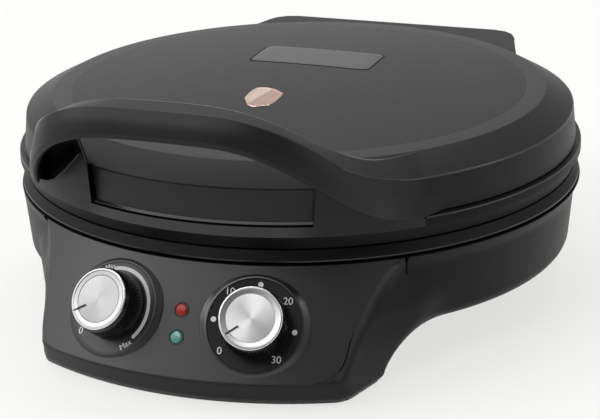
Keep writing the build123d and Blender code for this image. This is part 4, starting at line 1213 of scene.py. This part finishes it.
def panel_patch(name, grow, seat, top):
    zs = np.concatenate([np.linspace(15.9 - grow, 22, 30), np.linspace(22.6, top, 50)])
    us = np.concatenate([np.linspace(-1, -0.9, 9), np.linspace(-0.88, 0.88, 90), np.linspace(0.9, 1, 9)])
    P = []
    for z in zs:
        rr = float(panel_r(z)) - seat
        half = math.asin(min(0.99, (float(panel_x(max(z + grow * 0.6, 15.9))) + grow) / rr))
        P.append(np.stack([rr * np.sin(us * half), -rr * np.cos(us * half), np.full(us.shape, z)], -1))
    return patch(name, np.array(P), flip=True)


panel = panel_patch("panel_skin", 0.0, 0.0, 69.5)
so = panel.modifiers.new("wall", "SOLIDIFY")
so.thickness = 0.0024
so.offset = -1.0
bevel(panel, 0.45, 3, 40)
panel.data.materials.append(CONTROL)
panel.modifiers["edges"].material = 1
place(panel, "base", CONTROL, "panel_plastic", "control_panel")
panel.data.materials.append(EDGE)
seam = panel_patch("panel_seam", 0.5, 0.75, 69.0)
so = seam.modifiers.new("wall", "SOLIDIFY")
so.thickness = 0.0016
so.offset = -1.0
place(seam, "base", DARK_GAP_AND_SHADE, "panel_plastic")

# ------------------------------------------------------------------ dials, knobs, lamps

DIAL_AZ, DIAL_Z = 12.5 * D2R, 43.0
R_AT = R_RIM + (R_KNEE - R_RIM) * (Z_RIM - DIAL_Z) / (Z_RIM - Z_KNEE)


def dial_matrix(side, az=None, z=DIAL_Z):
    """Local frame on the sloped front: x right, y up the slope, z out of the panel. Metres."""
    a = DIAL_AZ if az is None else az
    r = R_RIM + (R_KNEE - R_RIM) * (Z_RIM - z) / (Z_RIM - Z_KNEE)
    n = Vector((side * math.sin(a) * math.cos(TILT), -math.cos(a) * math.cos(TILT), math.sin(TILT)))
    h = Vector((math.cos(a), side * math.sin(a), 0))
    v = n.cross(h)
    o = Vector((side * r * math.sin(a), Y0 - r * math.cos(a), z)) / 1000.0
    m = Matrix((h, v, n)).transposed().to_4x4()
    m.translation = o
    return m


ML, MR = dial_matrix(-1), dial_matrix(1)
MLAMP = [dial_matrix(-1, 0.22 * D2R, z) for z in (46.9, 34.3)]


def turned_local(name, profile, matrix, steps=128, shape=None, closed=False, sharp=35.0):
    """Turned piece with its own origin and z axis on the panel. Profile in mm."""
    pts = profile
    m = len(pts)
    ang = np.linspace(0, 2 * math.pi, steps, endpoint=False)
    R = np.array([p[0] for p in pts])
    Z = np.array([p[1] for p in pts])
    A, RR = np.meshgrid(ang, R, indexing="ij")
    ZZ = np.broadcast_to(Z, RR.shape).copy()
    if shape is not None:
        RR = shape(A, RR.copy(), ZZ)
    V = np.stack([RR * np.cos(A), RR * np.sin(A), ZZ], -1).reshape(-1, 3) / 1000.0
    pole0, pole1 = R[0] < 1e-6, R[-1] < 1e-6
    faces = []
    cols = m if closed else m - 1
    for i in range(steps):
        i2 = (i + 1) % steps
        for j in range(cols):
            j2 = (j + 1) % m
            a, b, c, d = i * m + j, i2 * m + j, i2 * m + j2, i * m + j2
            if pole0 and j == 0:
                faces.append((0, c, d))
            elif pole1 and j2 == m - 1:
                faces.append((a, b, m - 1))
            else:
                faces.append((a, b, c, d))
    ob = make(name, V, faces, sharp=None, raw=True)
    outward(ob)
    ob.data.set_sharp_from_angle(angle=sharp * D2R)
    ob.matrix_world = matrix
    return ob


def dial_profile():
    return arc_round([(0.0, 0.75, 0), (25.4, 0.75, 0.3), (25.9, 1.0, 0.4), (26.8, 0.95, 1.0), (29.0, -0.6, 1.6), (30.2, -1.3, 0.5), (30.3, -4.6, 0),
                      (24.0, -4.6, 0)])


def nudge(M, dx, dy):
    return M @ Matrix.Translation(Vector((dx / 1000, dy / 1000, 0)))


ML2, MR2 = nudge(ML, -0.5, -0.8), nudge(MR, -0.5, -0.8)


# the left dial face takes the lighter copy of the dial plastic: painted light
for side, M, mat, node, nm in ((-1, ML, DIAL_L_PAINTED_LIGHT, "temp_dial_plate", "temp"), (1, MR, DIAL_R, "timer_dial_plate", "timer")):
    d = turned_local(nm + "_dial_skin", dial_profile(), ML2 if side < 0 else MR2, steps=160)
    place(d, "base", mat, "dial_black", node)
    d.data.materials.append(SHOULDER)
    for poly in d.data.polygons:
        if math.hypot(poly.center[0], poly.center[1]) > 0.0262 and side > 0:
            poly.material_index = 1

RIBS = 60


def rib_shape(A, R, Z):
    k = ((R > 15.5) & (Z > 1.9) & (Z < 15.9)).astype(float)
    wave = 0.5 + 0.5 * np.cos(A * RIBS)
    return R - k * 0.55 * (1 - wave ** 0.6)


def fine_rib_shape(A, R, Z):
    k = ((R > 15.5) & (Z > 1.9) & (Z < 15.9)).astype(float)
    return R - k * 0.16 * (0.5 - 0.5 * np.cos(A * RIBS))


knob_profile = arc_round([(3.4, 15.5, 0), (3.4, 4.0, 0.2), (15.0, 4.0, 0.4), (15.6, 1.5, 0.3), (19.2, 1.5, 0.6), (19.0, 3.2, 0.4),
                          (18.2, 14.8, 0.5), (17.55, 16.6, 0.5), (17.4, 17.1, 0), (3.0, 17.1, 0)])
barrel = []
for a, b in zip(knob_profile[:-1], knob_profile[1:]):
    barrel.append(a)
    if abs(b[1] - a[1]) > 6 and a[0] > 16:
        for f in np.linspace(0.1, 0.9, 9):
            barrel.append((a[0] + (b[0] - a[0]) * f, a[1] + (b[1] - a[1]) * f))
barrel.append(knob_profile[-1])
cap_profile = arc_round([(0.0, 17.72, 0), (13.0, 17.72, 0.15), (13.2, 17.55, 0.08), (13.45, 17.8, 0.1), (15.6, 17.95, 0.3), (16.2, 18.25, 0.25),
                         (16.9, 18.2, 0.3), (17.25, 17.75, 0.25), (17.25, 17.1, 0)])
for M, body, nm in ((ML, "temp_knob", "temp"), (MR, "timer_knob", "timer")):
    k = turned_local(nm + "_knob_skin", barrel, M, steps=RIBS * 8, shape=fine_rib_shape if nm == "temp" else rib_shape, closed=True, sharp=50)
    place(k, body, KNOB, "knob_black", nm + "_knob_body")
    c = turned_local(nm + "_cap_skin", cap_profile, M, steps=160)
    # the left cap takes the darker copies of the metal: painted shade
    place(c, body, SPUN_SHADED_LEFT if nm == "temp" else SPUN_R, "spun_aluminium", nm + "_knob_cap")
    # bright turned rim of the cap
    c.data.materials.append(SPUN_RIM_SHADED_LEFT if nm == "temp" else SPUN_RIM_R)
    c.data.materials.append(CAP_EDGE)
    for poly in c.data.polygons:
        cc = poly.center
        if math.hypot(cc.x, cc.y) > 0.01335:
            poly.material_index = 2 if math.hypot(cc.x, cc.y) > 0.0168 else 1
    # pointer line
    ang = -145.0 * D2R
    r0, r1, w = (8.2, 16.4, 0.33) if nm == "temp" else (7.7, 15.6, 0.33)
    pts_l = []
    for r, s in ((r0, -1), (r1, -1), (r1, 1), (r0, 1)):
        pts_l.append((r * math.cos(ang) - s * w * math.sin(ang), r * math.sin(ang) + s * w * math.cos(ang)))
    vv = [(x / 1000, y / 1000, z / 1000) for z in (17.6, 18.32) for x, y in pts_l]
    ff = [(0, 1, 2, 3)[::-1], (4, 5, 6, 7)] + [(i, (i + 1) % 4, 4 + (i + 1) % 4, 4 + i) for i in range(4)]
    ptr = make(nm + "_pointer", vv, ff, sharp=30, raw=True)
    ptr.matrix_world = M
    place(ptr, body, MARK, "knob_black")

LAMP_RIM = (plain_plastic("lamp_rim_red", (0.035, 0.006, 0.005), 0.35, spec=0.4), plain_plastic("lamp_rim_green", (0.004, 0.022, 0.02), 0.35, spec=0.4))

# lamps
for i, (mat, node, slot) in enumerate(((RED, "red_lamp_lens", "red_lens"), (TEAL, "green_lamp_lens", "green_lens"))):
    lens = turned_local(node.replace("_lens", "") + "_lens_skin",
                        arc_round([(0.0, 1.15, 0), (2.6, 0.95, 0.8), (3.25, 0.45, 0.3), (3.35, -0.5, 0.2), (3.8, -0.6, 0.1), (3.8, -5.2, 0), (0.0, -5.2, 0)]),
                        MLAMP[i], steps=64)
    place(lens, "base", mat, slot, node)
    ring = turned_local(node.replace("_lens", "") + "_bezel",
                        arc_round([(3.45, -1.0, 0), (3.5, 0.15, 0.15), (3.95, 0.3, 0.15), (4.4, 0.05, 0.2), (4.45, -1.0, 0)]),
                        MLAMP[i], steps=64, closed=True)
    place(ring, "base", LAMP_RIM[i], "knob_black")


# printed marks
def flat_local(name, poly, matrix, height):
    """Thin printed shape from an outline in the dial's plane, mm."""
    n = len(poly)
    vv = [(x / 1000, y / 1000, z / 1000) for z in (height - 0.03, height) for x, y in poly]
    ff = [tuple(reversed(range(n))), tuple(range(n, 2 * n))] + [(i, (i + 1) % n, n + (i + 1) % n, n + i) for i in range(n)]
    ob = make(name, vv, ff, sharp=30, raw=True)
    ob.matrix_world = matrix
    return ob


def text_local(name, body, size, at, matrix, height, turn=0.0, squeeze=1.0):
    cu = bpy.data.curves.new(name, "FONT")
    cu.body = body
    cu.size = size / 1000.0
    cu.align_x = "CENTER"
    cu.align_y = "CENTER"
    cu.extrude = 0.000015
    cu.offset = 0.0
    ob = bpy.data.objects.new(name, cu)
    bpy.context.scene.collection.objects.link(ob)
    bpy.context.view_layer.update()
    me = bpy.data.meshes.new_from_object(ob)
    bpy.data.objects.remove(ob)
    o2 = bpy.data.objects.new(name, me)
    bpy.context.scene.collection.objects.link(o2)
    local = Matrix.Translation(Vector((at[0] / 1000, at[1] / 1000, height / 1000))) @ Matrix.Rotation(turn * D2R, 4, "Z")
    local = local @ Matrix.Diagonal((squeeze, 1, 1, 1))
    me.transform(local)
    o2.matrix_world = matrix
    return o2


H_PRINT = 0.80


def polar(r, a):
    return (r * math.cos(a * D2R), r * math.sin(a * D2R))


for txt, a, r in (("0", -141, 23.0), ("10", 128, 23.0), ("20", 37.6, 22.3), ("30", -54.5, 22.6)):
    o = text_local("timer_mark_" + txt, txt, 5.6, polar(r, a), MR2, H_PRINT)
    place(o, "base", PRINT, "dial_black")
for k, a in enumerate((173, 84, -8)):
    c = polar(22.4, a)
    o = flat_local("timer_dot_%d" % k, [(c[0] + 1.5 * math.cos(t), c[1] + 1.5 * math.sin(t)) for t in np.linspace(0, 2 * math.pi, 28, endpoint=False)], MR2, H_PRINT)
    place(o, "base", PRINT, "dial_black")
o = text_local("temp_mark_0", "0", 5.6, polar(23.8, -135), ML2, H_PRINT)
place(o, "base", PRINT, "dial_black")
o = text_local("temp_mark_max", "Max", 4.6, polar(23.6, -51.5), ML2, H_PRINT, turn=42)
place(o, "base", PRINT, "dial_black")
o = text_local("temp_mark_min", "Min", 4.4, polar(23.7, 116.5), ML2, H_PRINT, turn=20)
place(o, "base", PRINT, "dial_black")
arc_pts = []
a0, a1, rm, hw = 107.0, -36.0, 22.3, 1.05
steps_a = np.linspace(a0, a1, 60)
arc_pts += [polar(rm + hw, a) for a in steps_a]
end = polar(rm, a1)
for t in np.linspace(0, 180, 9)[1:-1]:
    d = (a1 - t) * D2R
    arc_pts.append((end[0] + hw * math.cos(d), end[1] + hw * math.sin(d)))
arc_pts += [polar(rm - hw, a) for a in steps_a[::-1]]
end = polar(rm, a0)
for t in np.linspace(0, 180, 9)[1:-1]:
    d = (a0 + 180 - t) * D2R
    arc_pts.append((end[0] + hw * math.cos(d), end[1] + hw * math.sin(d)))
o = flat_local("temp_band", arc_pts, ML2, H_PRINT)
place(o, "base", BAND, "dial_black")

# ------------------------------------------------------------------ CAD pieces that stay

LOOKS = {
    "lid_hinge_cover": SHELL, "leg_cover": SHELL, "upper_heat_shield": SHEET, "lower_heat_shield": SHEET,
    "upper_element": TUBE, "lower_element": TUBE, "upper_clamps": SHEET, "lower_clamps": SHEET,
    "rim_screws": STEEL, "cover_screws": STEEL, "terminal_screws": STEEL, "panel_nuts": STEEL, "hinge_pins": STEEL,
    "temp_shaft": STEEL, "timer_shaft": STEEL, "lid_hinge_arms": HINGE, "base_hinge_brackets": HINGE,
    "rubber_feet": RUBBER, "thermostat": CERAMIC, "timer_mechanism": CREAM, "neon_lamps": RED, "lamp_holder": CREAM,
    "terminal_block": CERAMIC, "cord_gland": RUBBER,
}
for name, mat in LOOKS.items():
    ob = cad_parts[name]
    ob.data.materials.clear()
    ob.data.materials.append(mat)
for name in ("lid_hinge_cover", "leg_cover", "lid_hinge_arms", "base_hinge_brackets"):
    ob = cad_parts[name]
    bevel(ob, 0.8 if name == "lid_hinge_cover" else 0.4, 3, 25)

# ------------------------------------------------------------------ studio

def stage_plane(name, pts, mat):
    me = bpy.data.meshes.new(name)
    me.from_pydata(pts, [], [tuple(range(len(pts)))])
    ob = bpy.data.objects.new(name, me)
    bpy.context.scene.collection.objects.link(ob)
    me.materials.append(mat)
    return ob


m, nt, b = new_material("floor_pale")
b.inputs["Base Color"].default_value = (0.20, 0.199, 0.196, 1)
b.inputs["Emission Color"].default_value = (1.0, 0.994, 0.98, 1)
b.inputs["Emission Strength"].default_value = 0.70
b.inputs["Roughness"].default_value = 0.9
b.inputs["Specular IOR Level"].default_value = 0.1
stage_plane("floor", [(-8, -8, 0), (8, -8, 0), (8, 8, 0), (-8, 8, 0)], m)

world = bpy.data.worlds.new("studio")
bpy.context.scene.world = world
world.use_nodes = True
bg = world.node_tree.nodes["Background"]
wt = world.node_tree
# even pale surroundings, dimmer low down at the front, as a studio is behind the camera
wc = wt.nodes.new("ShaderNodeTexCoord")
dot = wt.nodes.new("ShaderNodeVectorMath")
dot.operation = "DOT_PRODUCT"
fa, fe = 12.0 * D2R, 14.0 * D2R
dot.inputs[1].default_value = (math.sin(fa) * math.cos(fe), -math.cos(fa) * math.cos(fe), math.sin(fe))
wt.links.new(wc.outputs["Generated"], dot.inputs[0])
wr = wt.nodes.new("ShaderNodeMapRange")
wr.interpolation_type = "SMOOTHSTEP"
wr.inputs["From Min"].default_value = 0.42
wr.inputs["From Max"].default_value = 0.86
wr.inputs["To Min"].default_value = 1.0
wr.inputs["To Max"].default_value = 0.12
wt.links.new(dot.outputs["Value"], wr.inputs["Value"])
dot2 = wt.nodes.new("ShaderNodeVectorMath")
dot2.operation = "DOT_PRODUCT"
dot2.inputs[1].default_value = (0.86, 0.48, 0.15)
wt.links.new(wc.outputs["Generated"], dot2.inputs[0])
wr2 = wt.nodes.new("ShaderNodeMapRange")
wr2.interpolation_type = "SMOOTHSTEP"
wr2.inputs["From Min"].default_value = -0.05
wr2.inputs["From Max"].default_value = 0.62
wr2.inputs["To Min"].default_value = 1.0
wr2.inputs["To Max"].default_value = 0.56
wt.links.new(dot2.outputs["Value"], wr2.inputs["Value"])
wm = wt.nodes.new("ShaderNodeMath")
wm.operation = "MULTIPLY"
wt.links.new(wr.outputs["Result"], wm.inputs[0])
wt.links.new(wr2.outputs["Result"], wm.inputs[1])
wt.links.new(wm.outputs["Value"], bg.inputs["Strength"])
bg.inputs["Color"].default_value = (1.0, 0.996, 0.988, 1)
bpy.context.scene.view_settings.view_transform = "Standard"


def area(name, loc, target, size, power, size_y=None):
    li = bpy.data.lights.new(name, "AREA")
    li.shape = "RECTANGLE"
    li.size = size
    li.size_y = size_y or size
    li.energy = power
    ob = bpy.data.objects.new(name, li)
    bpy.context.scene.collection.objects.link(ob)
    ob.location = loc
    d = Vector(target) - Vector(loc)
    ob.rotation_euler = d.to_track_quat("-Z", "Y").to_euler()
    return ob


area("softbox_left", (-1.9, -1.0, 1.75), (0, 0, 0.05), 1.7, 32.0)
area("softbox_front", (-0.52, -1.62, 2.05), (0, 0, 0.05), 1.05, 15.0)
area("strip_right", (2.0, 0.45, 1.3), (0, 0, 0.08), 0.3, 8.0, 1.6)
area("strip_top", (-0.35, 0.95, 2.15), (0, 0, 0.1), 1.9, 20.0, 0.5)

# ------------------------------------------------------------------ camera

AZ, EL, ROLL = 20.48 * D2R, 20.01 * D2R, -1.22 * D2R
back = Vector((math.sin(AZ) * math.cos(EL), -math.cos(AZ) * math.cos(EL), math.sin(EL)))
right0 = Vector((math.cos(AZ), math.sin(AZ), 0))
up0 = back.cross(right0)
right = right0 * math.cos(ROLL) + up0 * math.sin(ROLL)
up = -right0 * math.sin(ROLL) + up0 * math.cos(ROLL)
cam_data = bpy.data.cameras.new("camera")
cam = bpy.data.objects.new("camera", cam_data)
bpy.context.scene.collection.objects.link(cam)
M = Matrix((right, up, back)).transposed().to_4x4()
M.translation = Vector((0.394474, -1.056326 + Y0 / 1000.0, 0.363949 + 0.086))
cam.matrix_world = M
cam_data.sensor_width = 36.0
cam_data.lens = 1905.9 / 600.0 * 36.0
cam_data.shift_x = -1.9 / 600.0
cam_data.shift_y = 0.0
cam_data.clip_start = 0.05
cam_data.clip_end = 60.0
bpy.context.scene.camera = cam
